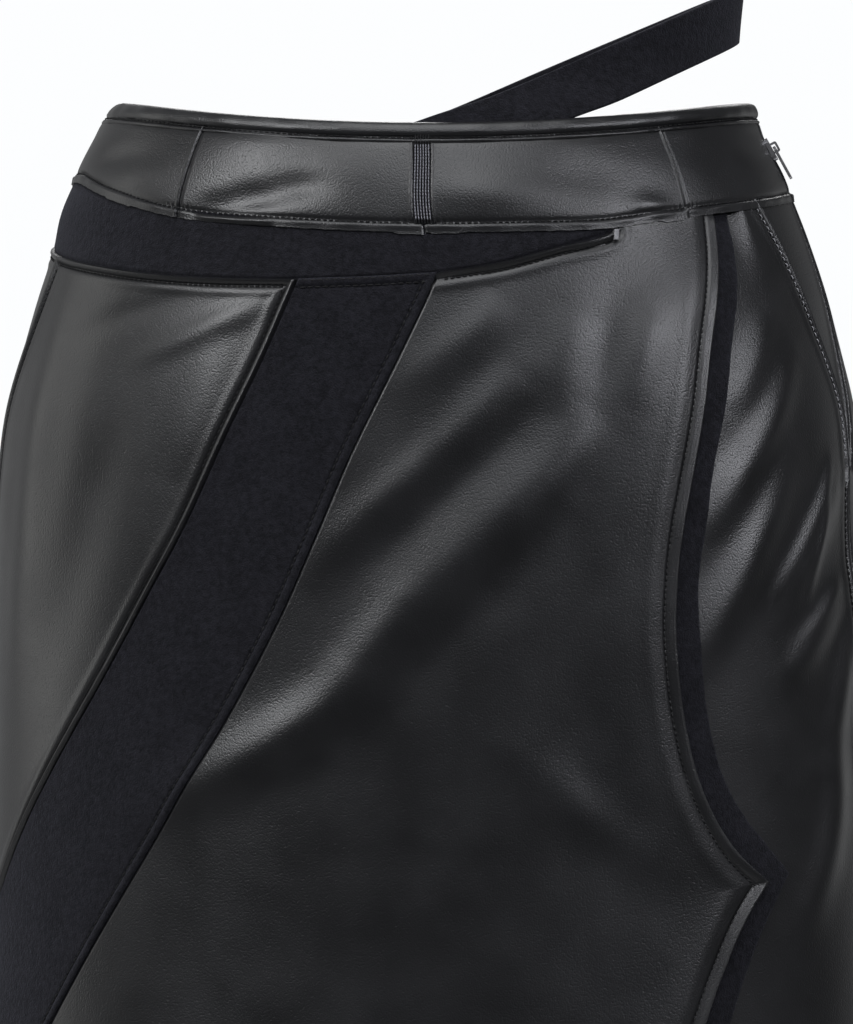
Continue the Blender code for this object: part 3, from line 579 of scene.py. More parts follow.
def band_piece(name, node, start, end, flat, left_rise, right_rise, lip_rise, flaps):
    """A waistband piece: rows run down from under the binding to the raw lip."""
    long = (end - start) * MM_PER_TURN * 0.95
    turns = start + (end - start) * steps_from(0.4, 1.3, long, 3.0)
    body = np.concatenate((np.linspace(0.0, 0.86, 15), np.linspace(0.88, 1.0, 8)))
    lip = np.linspace(0.0, 1.0, 9)[1:]
    turn, _ = np.meshgrid(turns, np.zeros(len(body) + len(lip)))
    top, seam = waist_edge(turns) + BAND_TOP, band_seam(turns)
    ragged = 0.07 * np.sin(turns * 1.9) + 0.05 * np.sin(turns * 4.3 + 1.0)
    for from_turn, to_turn, longer in LIP_STEPS:
        past_start, before_end = turns - from_turn, to_turn - turns
        ragged += longer * soft_step(past_start / 0.4) * soft_step(before_end / 0.4)
    drop = np.concatenate((
        top + (seam - top) * body[:, None], seam + (ALLOWANCE + ragged) * lip[:, None],
    ))
    past_seam = drop - seam
    from_left = (turn - start) * MM_PER_TURN * WAIST_SHARE
    from_right = (end - turn) * MM_PER_TURN * WAIST_SHARE
    down = np.clip(1 + past_seam / (seam - top), 0.0, 1.0)
    # Full in the middle, and pressed down under the binding.
    height = BAND_HEIGHT + 0.45 * np.sin(math.pi * down)
    height = height - 1.1 * (1 - soft_step((drop - top) / 3.6))
    for at_turn, at_drop, dent, turns_wide, drops_tall in BAND_DENTS:
        beside = wrapped(turn - at_turn) / turns_wide
        height = height + dent * np.exp(-beside**2 - ((drop - at_drop) / drops_tall)**2)
    pucker = 0.6 + 0.4 * np.cos(turn * MM_PER_TURN * 0.93 * 2 * math.pi / STITCH_PITCH)
    height = height - 0.75 * bump_at(past_seam + 0.2, 0.85) * pucker
    height = height - 0.25 * bump_at(past_seam, 2.2)
    # The lip stands out at the seam and falls back towards its raw edge.
    lifted = soft_step(past_seam / 1.2) - 0.9 * soft_step((past_seam - 0.9) / 3.0)
    height = height + (0.5 + lip_rise) * lifted * (1 + 0.25 * np.sin(turn * 0.9))
    # On the left front a stretch of the lip is turned up.
    turned = soft_step((turn - TURNED_LIP[0]) / 2.0) * soft_step((TURNED_LIP[1] - turn) / 0.6)
    height = height + 0.75 * turned * bump_at(past_seam - 2.3, 1.0)
    for inside, rise in ((from_left, left_rise), (from_right, right_rise)):
        height = height + rise * bump_at(inside - 0.7, 0.5) - 0.3 * bump_at(inside, 0.4)
    inner_face = np.minimum(-0.9, height - BAND_THICK)
    low = np.where(past_seam > 0.3, height - LIP_THICK, inner_face)
    # The lip's ends open like flaps where it is split.
    by_left = np.clip(1 - from_left / FLAP_LONG, 0, 1)
    by_right = np.clip(1 - from_right / FLAP_LONG, 0, 1)
    turn = turn + (flaps[1] * by_right - flaps[0] * by_left) * soft_step((past_seam - 0.3) / 0.3)
    piece = sheet_mesh(
        name, cloth(turn, drop, height), cloth(turn, drop, low), leather, knit_backing,
    )
    lay(
        piece, node, "imitation_leather", flat=flat, held="stretched",
        rests_on=["panel_front_centre", "panel_back_left"],
    )


RIDGE_GAP, FLAP = 0.03, 1.2
for side, start, end, flat, left_rise, right_rise, lip_rise, flaps in (
    ("side_left", LEFT_SIDE + BUTT_GAP, LEFT_BAND_SEAM - BUTT_GAP,
     (0.092, 0.038), 0.3, 0.9, 0.2, (0, 0)),
    ("front_left", LEFT_BAND_SEAM + BUTT_GAP, RIDGES[0] - RIDGE_GAP,
     (0.095, 0.042), -0.3, 0.2, 0.1, (0, FLAP)),
    ("front_right", RIDGES[1] + RIDGE_GAP, RIGHT_BAND_SEAM - BUTT_GAP,
     (0.104, 0.041), 0.2, 0.7, 0.1, (FLAP, 0)),
    ("side_right", RIGHT_BAND_SEAM + BUTT_GAP, ZIP_SIDE - ZIP_GAP,
     (0.093, 0.036), -0.3, 0.5, 0.2, (0, 0)),
    ("back_right", ZIP_SIDE + ZIP_GAP, CENTRE_BACK - BUTT_GAP,
     (0.226, 0.038), 0.5, 0.6, 0.3, (0, 0)),
    ("back_left", -CENTRE_BACK + BUTT_GAP, LEFT_SIDE - BUTT_GAP,
     (0.212, 0.038), -0.3, 0.3, 0.3, (0, 0)),
):
    band_piece("band_" + side, "waistband_" + side, start, end, flat, left_rise, right_rise,
               lip_rise, flaps)


ends = (LEFT_SIDE, RIDGES[0]), (RIDGES[1], 83.2), (84.8, 271.0)
rows = [row_round(band_seam, start, end, 0.35) for start, end in ends]
stitching("thread_waistband", rows, black_thread)

# ------------------------------
# Centre-front ridges
# A narrow strip let into the waistband, gathered into fine upright ridges by six rows of
# grey stitches. Below the seam the waistband's lip is split under it.

RIDGE_ROWS, RIDGE_HEIGHT, RIDGE_DEPTH = 6, 0.75, 0.42
turns = np.linspace(RIDGES[0] + RIDGE_GAP, RIDGES[1] - RIDGE_GAP, 61)
shares = np.linspace(0.0, 1.0, 40)
turn, share = np.meshgrid(turns, shares)
top, seam = waist_edge(turn) + BAND_TOP, band_seam(turn)
drop = top + (seam + 0.3 - top) * share
across = (turn - turns[0]) / (turns[-1] - turns[0])
height = RIDGE_HEIGHT + RIDGE_DEPTH * np.cos((across * RIDGE_ROWS - 0.5) * 2 * math.pi)
height = height - 0.35 * bump_at(drop - seam, 0.8)
ridges = sheet_mesh(
    "ridges_centre_front", cloth(turn, drop, height), cloth(turn, drop, height * 0 - 0.9),
    leather, knit_backing,
)
lay(
    ridges, "centre_front_ridges", "imitation_leather", flat=(0.0105, 0.037), held="gathered",
    rests_on=["waistband_front_left"],
)

grey_thread = thread_finish("thread_grey", dark=(0.07, 0.07, 0.08), light=(0.26, 0.26, 0.29))
rows = []
for row in range(RIDGE_ROWS):
    at_turn = turns[0] + (row + 0.5) / RIDGE_ROWS * (turns[-1] - turns[0])
    drops = np.linspace(waist_edge(at_turn) + 8.9, band_seam(at_turn) - 0.4, 60)
    rows.append((np.stack((np.full(60, at_turn), drops), axis=-1), 1.2))
stitching("thread_ridges", rows, grey_thread, pitch=1.35, length=1.45)

# ------------------------------
# Wool yoke
# A crescent of black felted wool under the waistband, which narrows to a point on the
# right front and at the left back. The leather panels' folded edges lie over its lower
# edge.

YOKE_EDGE_BACK = ((-131, 45.2), (-118, 50), (-104, 54.5), (-92, 58), (-75.4, 63))
YOKE_EDGE_LEFT = ((-75.4, 63), (-58.6, 68.2), (-44, 72.4), (-34, 74.4), (-19.4, 75.6))
YOKE_EDGE_MIDDLE = ((-19.4, 75.6), (-9, 74.8), (0.6, 73.3))
YOKE_EDGE_RIGHT = ((0.6, 73.3), (10, 68.9), (18.4, 62.9), (27.6, 56.5))
SEAM_GAP = 0.15
FIBRES, TUFTS, NAP = 1500.0, 420.0, 70.0


def wool_finish(name, dark, light):
    """Felted wool: matt, with short tangled fibres and a faint blue cast."""
    material, shader, position = new_material(name, {
        "Specular IOR Level": 0.12, "Sheen Weight": 0.07, "Sheen Roughness": 0.55,
        "Sheen Tint": (0.80, 0.82, 1.0, 1.0),
    })
    fibres = position.noise(FIBRES, 3.0)
    tufts = position.noise(TUFTS, 2.0)
    nap = position.noise(NAP, 1.0)
    shade = (0.4 * fibres + 0.45 * tufts + 0.15 * nap).between(0.40, 0.62)
    feed(
        shader,
        Base_Color=shade.mix(dark, light),
        Roughness=0.88 + 0.1 * tufts,
        Normal=(0.65 * fibres + 0.6 * tufts).bump(0.9, 0.0009),
    )
    return material


wool = wool_finish("wool_felted", dark=(0.0022, 0.0022, 0.0032), light=(0.0105, 0.0104, 0.0135))


class Line:
    """A smooth line through (turn, drop) points, read by its share of length."""

    def __init__(self, points):
        places = np.asarray(points, dtype=float)
        steps = np.diff(places, axis=0) * (MM_PER_TURN, 1.0)
        lengths = np.concatenate(([0.0], np.cumsum(np.linalg.norm(steps, axis=1))))
        self.table = np.column_stack((lengths, places))
        self.length = lengths[-1]

    def __call__(self, share):
        return read_smooth(self.table, np.asarray(share) * self.length)


def hang(name, node, places, height, low, flat, area, rests_on, finish=leather):
    """A cloth panel over the form, in the place of its solid."""
    slot, back = ("wool", wool) if finish is wool else ("imitation_leather", knit_backing)
    piece = sheet_mesh(name, on_cloth(places, height), on_cloth(places, low), finish, back)
    lay(piece, node, slot, flat=flat, area=area, held="hung", rests_on=[rests_on])


def panel_top(turn):
    """The drop at which the panels start, under the waistband."""
    return band_seam(turn) + SEAM_GAP


# How thick the wool is, and how far a hidden edge runs on under its neighbour.
WOOL_THICK, UNDER = 1.4, 5.0
YOKE_COLUMNS, YOKE_TAPER_COLUMNS = 300, 25
yoke_line = Line(YOKE_EDGE_BACK + YOKE_EDGE_LEFT[1:] + YOKE_EDGE_MIDDLE[1:] + YOKE_EDGE_RIGHT[1:])
edge = yoke_line(np.linspace(0.0, 1.0, YOKE_COLUMNS))
shares = np.concatenate((np.linspace(0.0, 0.9, 10), np.linspace(0.93, 1.0, 5)))
top = panel_top(edge[:, 0])
tall = edge[:, 1] - top
column = np.arange(YOKE_COLUMNS)
ends = soft_step(np.minimum(column, column[::-1]) / YOKE_TAPER_COLUMNS)
rows = [top + tall * share for share in shares] + [edge[:, 1] + UNDER * ends * k for k in (0.3, 1)]
places = np.stack((np.tile(edge[:, 0], (len(rows), 1)), rows), axis=-1)
past = places[..., 1] - edge[:, 1]
height = -0.9 * soft_step((past + 1.2) / 1.6) - 0.25 * bump_at(places[..., 1] - top, 1.5)
hang(
    "yoke_felted_wool", "yoke_wool", places, height, height - WOOL_THICK, (0.44, 0.036), 0.0105,
    "waistband_front_left", wool,
)

# ------------------------------
# Left front panel
# A long leather triangle between the yoke, the left side seam and the wool band. Its
# three edges are folded under and topstitched, and lie as soft lips over their
# neighbours.

LEFT_SIDE_SEAM = (
    (-75.4, 63), (-76.4, 78), (-78.6, 93), (-81.4, 108), (-84.2, 126), (-86.8, 160),
    (-88.3, 220), (-89, 300), (-89, 368),
)
BAND_LEFT_EDGE = (
    (-19.4, 75.6), (-23.8, 111.6), (-28.3, 142.2), (-32.8, 170.4), (-38.5, 198), (-46, 230),
    (-56.9, 268), (-65.8, 296), (-73.6, 321), (-81, 345), (-89, 368),
)
STITCH_IN, LIP_RADIUS, LEATHER_THICK, RIM_STEP = 3.2, 1.1, 0.9, 0.25


def away_from(points, rim):
    """Each point's distance from a line of points, in millimetres."""
    run = np.concatenate(([0.0], np.cumsum(np.linalg.norm(np.diff(rim, axis=0), axis=1))))
    fine = np.linspace(0.0, run[-1], int(run[-1] / RIM_STEP) + 2)
    tree = KDTree(len(fine))
    for k, place in enumerate(zip(*(np.interp(fine, run, rim[:, axis]) for axis in range(3)))):
        tree.insert(place, k)
    tree.balance()
    found = [tree.find(point)[2] for point in points.reshape(-1, 3).tolist()]
    return np.array(found).reshape(points.shape[:2])


def between_lines(top, bottom, left, right, rows, columns):
    """A grid of places inside four lines, which blends their shapes."""
    v, u = rows[:, None, None], columns[None, :, None]
    sides = (1 - u) * left(rows)[:, None] + u * right(rows)[:, None]
    ends = (1 - v) * top(columns)[None] + v * bottom(columns)[None]
    corners = (
        (1 - u) * (1 - v) * top(0.0) + u * (1 - v) * top(1.0)
        + (1 - u) * v * bottom(0.0) + u * v * bottom(1.0)
    )
    return sides + ends - corners


def rounding(distance, radius):
    """How far a rim is rounded off, 1 at its edge and 0 a radius inside it."""
    return np.clip(1 - distance / radius, 0.0, 1.0)**2


def folded_lip(distance, rise=1.55):
    """The height of a folded, stitched edge at a distance inside it."""
    roll = 1 - rounding(distance, LIP_RADIUS)
    lip = rise * (1 - soft_step((distance - 0.8) / (STITCH_IN - 0.6)))
    groove = -0.6 * bump_at(distance - STITCH_IN, 0.6)
    swell = 0.42 * bump_at(distance - STITCH_IN - 2.6, 1.8)
    return lip * roll - 0.55 * (1 - roll) + groove + swell


def edge_row(line, start, end, inset, height, samples=400):
    """Places of a stitch row set in from a line of places, towards growing turns."""
    places = line(np.linspace(start, end, samples))
    scale = np.ones_like(places)
    scale[:, 0] = turn_mm(places[:, 0], places[:, 1])
    steps = np.gradient(places, axis=0) * scale
    aside = unit(np.stack((-steps[:, 1], steps[:, 0]), axis=-1))
    return places + aside * inset / scale, height


side, diagonal, top_line = Line(LEFT_SIDE_SEAM), Line(BAND_LEFT_EDGE), Line(YOKE_EDGE_LEFT)
# The panel ends just before its two sides meet.
TIP = 0.985
foot = Line((side(TIP), diagonal(TIP)))
rows = steps_from(0.5, 2.4, 330.0, 5.0)
columns = steps_from(0.42, 2.2, 150.0, 5.0)
places = between_lines(
    top_line, foot, lambda v: side(v * TIP), lambda v: diagonal(v * TIP), rows, columns,
)
points = on_cloth(places)
from_rims = [away_from(points, rim) for rim in (points[:, 0], points[:, -1], points[0])]
height = folded_lip(np.minimum.reduce(from_rims))
hang(
    "left_front_leather", "panel_front_left", places, height, height * 0 - LEATHER_THICK,
    (0.17, 0.33), 0.0292, "yoke_wool",
)
left_rows = [
    edge_row(diagonal, 0.012, 0.97, STITCH_IN, 0.1),
    edge_row(top_line, 0.02, 0.975, STITCH_IN, 0.1),
    edge_row(side, 0.015, 0.97, -STITCH_IN, 0.1),
]
stitching("thread_left_front", left_rows, black_thread)

# ------------------------------
# Diagonal wool band
# A band of the same wool that falls from the yoke to the left side seam. Its left edge
# lies under the leather's lip; its top and right edges are folded and stitched over the
# yoke and the centre front.

BAND_RIGHT_EDGE = (
    (0.6, 73.3), (-2.9, 95.7), (-6.4, 118), (-10.6, 145), (-14.3, 172), (-19.3, 206),
    (-26.6, 246), (-36.3, 291.6), (-46.8, 336), (-60, 387), (-75, 436), (-89, 478),
)
WOOL_STITCH_IN = 3.6


def beyond(places, column, reach):
    """A column of places moved round the waist by a reach, in millimetres."""
    moved = places[:, [column]].copy()
    moved[..., 0] += reach / turn_mm(moved[..., 0], moved[..., 1])
    return moved


def tucked_left(places, reach):
    """The places with a column more on the left, tucked under the neighbour by a reach.

    Also gives their points, and how far inside the left rim each is.
    """
    places = np.concatenate((beyond(places, 0, -reach), places), axis=1)
    points = on_cloth(places)
    inside = away_from(points, points[:, 1])
    inside[:, 0] *= -1
    return places, points, inside


def sunk(inside, depth=1.0, start=1.4, run=1.8):
    """How deep a rim lies under its neighbour, at a distance inside it."""
    return -depth * soft_step((start - inside) / run)


band_right, band_top = Line(BAND_RIGHT_EDGE), Line(YOKE_EDGE_MIDDLE)
foot = Line((BAND_LEFT_EDGE[-1], BAND_RIGHT_EDGE[-1]))
rows = steps_from(0.6, 2.6, 430.0, 5.0)
columns = steps_from(0.5, 2.2, 70.0, 6.0)
places = between_lines(band_top, foot, diagonal, band_right, rows, columns)
places, points, from_left = tucked_left(places, UNDER * (1 - rows[:, None]**8))
from_fold = np.minimum(away_from(points, points[:, -1]), away_from(points, points[0, 1:]))
wool_fold = 0.8 * (1 - soft_step((from_fold - 1.4) / 2.6))
wool_fold = wool_fold - 0.5 * bump_at(from_fold - WOOL_STITCH_IN, 0.6)
wool_fold = wool_fold - 0.7 * rounding(from_fold, LIP_RADIUS)
height = wool_fold * (from_left > 0.5) + sunk(from_left, 0.95, 1.2, 1.6)
hang(
    "diagonal_felted_wool", "band_wool_diagonal", places, height, height - WOOL_THICK,
    (0.075, 0.44), 0.0262, "yoke_wool", wool,
)
wool_rows = [
    edge_row(band_right, 0.008, 0.985, WOOL_STITCH_IN, 0.15),
    edge_row(band_top, 0.02, 0.93, WOOL_STITCH_IN, 0.1),
    edge_row(band_top, 0.02, 0.97, 0.9, 0.6),
]
stitching("thread_wool_band", wool_rows, black_thread, pitch=3.0, length=2.2)

# ------------------------------
# Centre front panel
# The large leather panel from the wool band to the wrap edge. Its wrap edge is cut raw
# and stitched about 5 mm in, so that a thin lip stands beyond the stitches. It lies on
# the wool strip and the right front.

WRAP_EDGE = (
    (48.4, 45.2), (45.6, 65), (42.9, 82.4), (40.3, 101), (37, 131), (34.3, 159),
    (32.8, 176), (31.8, 195), (31.3, 212), (31.4, 229), (32.2, 250.6), (33.9, 272),
    (36.6, 289.3), (39.5, 301), (44.6, 313.5),
)
WRAP_LOWER_EDGE = (
    (44.6, 313.5), (41.6, 324), (39.2, 335), (34.4, 365), (29, 410), (24.4, 465),
    (20.6, 540), (18, 640), (16.5, 790.5),
)
# The height of one layer of the wrap. The layers lie sunk at the waistband, and come up to
# their height over a stretch below it.
WRAP_LAYER, WRAP_SINK_DROP, WRAP_STITCH_IN = 1.8, 42.0, 4.6
CORNER = 0.5
HEM_SLANT, HEM_TURNED_UP = 38.0, 14.0


def hem(turn):
    """The drop of the hem, which slants down towards the right."""
    return HEM_DROP + HEM_SLANT * np.sin(np.radians(turn))


def joined(first, second, joint):
    """Two lines end to end, which meet in a corner at the joint's share."""
    def read(share):
        share = np.asarray(share, dtype=float)
        early = first(np.clip(share / joint, 0.0, 1.0))
        late = second(np.clip((share - joint) / (1 - joint), 0.0, 1.0))
        return np.where(share[..., None] <= joint, early, late)
    return read


def line_round(drop_at, start, end):
    """A line round the skirt between two turns, at the drops of a seam or the hem."""
    def read(share):
        turn = start + (end - start) * np.asarray(share, dtype=float)
        return np.stack((turn, drop_at(turn)), axis=-1)
    return read


def wrap_sink(places):
    """How deep the layers under the wrap lie near the waistband."""
    below_band = places[..., 1] - band_seam(places[..., 0])
    return 2 * WRAP_LAYER * (1.0 - soft_step(below_band / WRAP_SINK_DROP))


upper_rows = steps_from(0.7, 2.4, 300.0, 4.0)
lower_rows = steps_from(0.9, 4.6, 500.0, 5.0)
wrap_rows = np.concatenate((upper_rows * CORNER, CORNER + lower_rows[1:] * (1 - CORNER)))
wrap_edge = joined(Line(WRAP_EDGE), Line(WRAP_LOWER_EDGE), CORNER)


def on_rows(edge, inset=0.0):
    """A column of places along an edge, set back under the wrap by an inset."""
    places = edge(wrap_rows) - (inset / MM_PER_TURN, 0.0)
    places[0, 1] = panel_top(places[0, 0])
    places[-1, 1] = hem(places[-1, 0])
    return places


def folded_hem(distance):
    """The height of the hem's turned-up edge at a distance above it."""
    turned_up = 0.4 * (1 - soft_step((distance - HEM_TURNED_UP) / 3.0))
    return turned_up - 0.6 * rounding(distance, 1.0)


rim = on_rows(wrap_edge)
side_below = Line((BAND_RIGHT_EDGE[-1], (LEFT_SIDE, hem(LEFT_SIDE))))
halfway = (YOKE_EDGE_RIGHT[-1][0] + rim[0, 0]) / 2
at_seam = (halfway, panel_top(halfway))
top_edge = Line(YOKE_EDGE_RIGHT + ((30.2, 52.2), at_seam, tuple(rim[0])))
corner_row = len(upper_rows) - 1
rim_line = joined(
    Line(np.concatenate((rim[:corner_row:6], rim[[corner_row]]))),
    Line(np.concatenate((rim[corner_row:-1:6], rim[-1:]))), CORNER,
)
columns = steps_from(0.8, 3.2, 330.0, 9.0)
places = between_lines(
    top_edge, line_round(hem, LEFT_SIDE, rim[-1, 0]), joined(band_right, side_below, CORNER),
    rim_line, wrap_rows, columns,
)
places, points, from_left = tucked_left(places, UNDER * (wrap_rows[:, None] < CORNER))
from_upper = away_from(points, points[:corner_row + 1, -1])
from_lower = away_from(points, points[corner_row:, -1])
from_wrap = np.minimum(from_upper, from_lower)
turn, drop = places[..., 0], places[..., 1]
yoke_rim = points[0, 1:][places[0, 1:, 0] < YOKE_EDGE_RIGHT[-1][0] + 0.3]
from_top, from_hem = away_from(points, yoke_rim), away_from(points, points[-1])
upper = wrap_rows[:, None] < CORNER
over = 2 * WRAP_LAYER - wrap_sink(places)
# The rise over the layers below turns the corner in a soft curve.
TURN_SOFT, OVERLAP_START, OVERLAP_RUN = 9.0, 46.0, 36.0
either = np.exp(-from_upper / TURN_SOFT) + np.exp(-from_lower / TURN_SOFT)
soft_edge = -TURN_SOFT * np.log(either)
overlap = soft_step((OVERLAP_START - soft_edge) / OVERLAP_RUN)
base = np.clip(over, 0.0, None) * overlap
# The raw lip lifts and narrows towards the corner, and starts below the waistband's lip.
LIP_LIFTS_AT, LIP_NARROWS_AT = 290, 306
lip_tilt = 0.9 + 0.7 * soft_step((drop - LIP_LIFTS_AT) / 20)
lip_wide = 4.3 - 1.3 * soft_step((drop - LIP_NARROWS_AT) / 14)
lip_tilt = lip_tilt * soft_step((drop - band_seam(turn) - 3.2) / 3.0)
lip = lip_tilt * np.clip(1 - from_wrap / lip_wide, 0.0, 1.0) - 0.5 * rounding(from_wrap, 0.5)
groove = -0.55 * bump_at(from_wrap - 4.5, 0.8) + 0.55 * bump_at(from_wrap - 10.5, 4.0)
height = base + lip + groove + folded_lip(from_top) * (from_left > -0.5)
height = height + np.where(upper, sunk(from_left, 0.95, 1.5), folded_lip(from_left, 0.9))
height = height + folded_hem(from_hem)
low = np.minimum(height, 0.3 + base) - LEATHER_THICK
hang(
    "centre_front_leather", "panel_front_centre", places, height, low, (0.39, 0.76), 0.19,
    "waistband_front_right",
)
centre_rows = []
for start, end in ((0.01, 0.496), (0.504, 0.992)):
    row_places, _ = edge_row(rim_line, start, end, WRAP_STITCH_IN, 0.0, 900)
    layer = 2 * WRAP_LAYER - wrap_sink(row_places)
    centre_rows.append((row_places, np.clip(layer, 0.0, None) - 0.2))
centre_rows.append(edge_row(Line(YOKE_EDGE_RIGHT), 0.02, 0.98, STITCH_IN, 0.1))
centre_rows.append(edge_row(side_below, 0.01, 0.99, -STITCH_IN, 0.1))
stitching("thread_centre_front", centre_rows, black_thread)

# A bar tack holds the yoke's point: close stitches side by side across the seam.
TACK_ROWS, TACK_STEP, TACK_SAMPLES, TACK_HEIGHT = 9, 0.46, 8, 1.9
tack = []
for k in range(TACK_ROWS):
    drops = np.full(TACK_SAMPLES, 56.5 + TACK_STEP * k)
    turns = np.linspace(27.4, 28.5, TACK_SAMPLES) - 0.05 * k
    tack.append((np.stack((turns, drops), axis=-1), TACK_HEIGHT))
light_thread = thread_finish("thread_light", dark=(0.16, 0.16, 0.17), light=(0.42, 0.42, 0.44))
stitching("bar_tack", tack, light_thread, pitch=2.4, length=2.3, thick=0.45)

# ------------------------------
# Wool strip
# A narrow strip of the wool, cut raw, that shows beside the wrap edge and turns its
# corner with it.

WOOL_STRIP_EDGE = (
    (52.6, 44.4), (49.7, 69), (47.4, 84), (44.9, 99.5), (41.4, 127), (38, 157),
    (36.6, 176), (35.4, 195), (35.1, 212), (35.4, 229), (36.4, 253), (38.3, 272),
    (41.6, 287.5), (45.4, 299), (49.4, 310.5),
)
WOOL_STRIP_LOWER_EDGE = (
    (49.4, 310.5), (46.2, 323.5), (43.5, 336), (38.6, 366), (33, 411), (28.2, 466),
    (24.3, 541), (21.6, 641), (20, 793),
)
strip_edge = joined(Line(WOOL_STRIP_EDGE), Line(WOOL_STRIP_LOWER_EDGE), CORNER)
STRIP_UNDER = 10.0
inner, outer = on_rows(wrap_edge, STRIP_UNDER), on_rows(strip_edge)
shares = np.concatenate((np.linspace(0.0, 0.85, 14), np.linspace(0.88, 1.0, 6)))[None, :, None]
places = inner[:, None] * (1 - shares) + outer[:, None] * shares
points = on_cloth(places)
from_edge = away_from(points, points[:, -1])
level = WRAP_LAYER - wrap_sink(places)
height = level - 0.45 * rounding(from_edge, 0.9)
height = height + 0.12 * np.sin(wrap_rows[:, None] * 260) * bump_at(from_edge, 2.0)
hang(
    "wrap_felted_wool", "edge_wool_strip", places, height, level - WOOL_THICK, (0.03, 0.80),
    0.0187, "panel_front_right", wool,
)

# ------------------------------
# Right front panel
# Leather under the wrap, out to the curved folded edge at the hip, which is topstitched
# with a lighter row, and on down the right side seam.

HIP_EDGE = (
    (61.4, 41.5), (64.3, 57.7), (66.3, 71.7), (69, 91), (71.2, 105.4), (72.7, 118),
    (73.3, 131), (72.8, 148),
)
RIGHT_SIDE_LOWER_SEAM = (
    (73.1, 148), (71.2, 166), (70, 190), (70, 220), (70.8, 270), (72.4, 350),
    (74.2, 500), (75, 816.7),
)
# Steps down to the wrap's corner, how many of them run along the hip edge, and the share
# of the lower seam that the others cover.
UPPER_STEPS, HIP_STEPS, SIDE_BREAK = 22, 9, 0.23
FRONT_UNDER = 18.0


def side_line(upper_points):
    """Down the right side: an upper line, then the lower seam, in the wrap's rows."""
    upper, lower = Line(upper_points), Line(RIGHT_SIDE_LOWER_SEAM)

    def read(share):
        share = np.asarray(share, dtype=float)
        step = share / CORNER * UPPER_STEPS
        middle = (step - HIP_STEPS) / (UPPER_STEPS - HIP_STEPS) * SIDE_BREAK
        end = SIDE_BREAK + (share - CORNER) / (1 - CORNER) * (1 - SIDE_BREAK)
        on_lower = lower(np.clip(np.where(share < CORNER, middle, end), 0.0, 1.0))
        on_upper = upper(np.clip(step / HIP_STEPS, 0.0, 1.0))
        return np.where((step <= HIP_STEPS)[..., None], on_upper, on_lower)
    return read


hip_side = side_line(HIP_EDGE)
right, strip, far = on_rows(hip_side), on_rows(strip_edge), on_rows(wrap_edge, FRONT_UNDER)
hidden = np.linspace(0.0, 1.0, 8)[:-1][None, :, None]
shown = steps_from(0.6, 2.4, 170.0, 5.0)[None, :, None]
places = np.concatenate((
    far[:, None] * (1 - hidden) + strip[:, None] * hidden,
    strip[:, None] * (1 - shown) + right[:, None] * shown,
), axis=1)
points = on_cloth(places)
from_side, from_hem = away_from(points, points[:, -1]), away_from(points, points[-1])
open_share = np.concatenate((hidden[0, :, 0] * 0, shown[0, :, 0]))
sink = wrap_sink(places) * (1 - soft_step(open_share / 0.45))
# The folded edge is full along the hip, and flatter along the side seam.
fold_fade = np.where(wrap_rows[:, None] < 0.22, 1.0, 0.55)
height = -sink + folded_lip(from_side, 1.1) * fold_fade + folded_hem(from_hem)
low = np.minimum(height, -sink) - LEATHER_THICK
hang(
    "right_front_leather", "panel_front_right", places, height, low, (0.25, 0.78), 0.115,
    "waistband_side_right",
)
hip_row = edge_row(Line(HIP_EDGE), 0.015, 0.985, STITCH_IN, 0.2)
stitching("thread_hip_edge", [hip_row], light_thread, pitch=2.8, length=1.9)
side_row = edge_row(Line(RIGHT_SIDE_LOWER_SEAM), 0.01, 0.99, STITCH_IN, 0.1, 900)
stitching("thread_right_side", [side_row], black_thread)

# ------------------------------
# Right hip piece
# The small piece of the same leather between the curved edge and the side zip. It is sewn
# on under the curved edge, and folded back along the zip.

RIGHT_SIDE_SEAM = (
    (84, 37), (82.4, 58), (80.6, 82), (78.4, 106), (75.8, 130), (73.4, 148),
)
rows = steps_from(0.8, 2.2, 110.0, 4.0)
columns = steps_from(0.5, 1.8, 60.0, 4.0)
places = between_lines(
    line_round(panel_top, HIP_EDGE[0][0], RIGHT_SIDE_SEAM[0][0] - 0.5),
    Line((HIP_EDGE[-1], RIGHT_SIDE_SEAM[-1])), Line(HIP_EDGE), Line(RIGHT_SIDE_SEAM), rows, columns,
)
places, points, from_hip = tucked_left(places, UNDER * (1 - rows[:, None]**8))
from_zip = away_from(points, points[:, -1])
height = sunk(from_hip) + folded_lip(from_zip, 0.8) - 0.8 * (1 - soft_step(from_zip / 0.7))
hang(
    "right_hip_leather", "panel_hip_right", places, height, np.minimum(height, 0) - LEATHER_THICK,
    (0.065, 0.11), 0.0031, "waistband_side_right",
)

# ------------------------------
# Back panels
# A right and a left back of the same leather, joined at centre back by a stitched seam.
# The left one runs under the end of the yoke.


def centre_seam(turn):
    """The seam straight down the centre back, as reached from one side."""
    return Line(((turn, panel_top(turn)), (turn, hem(turn))))


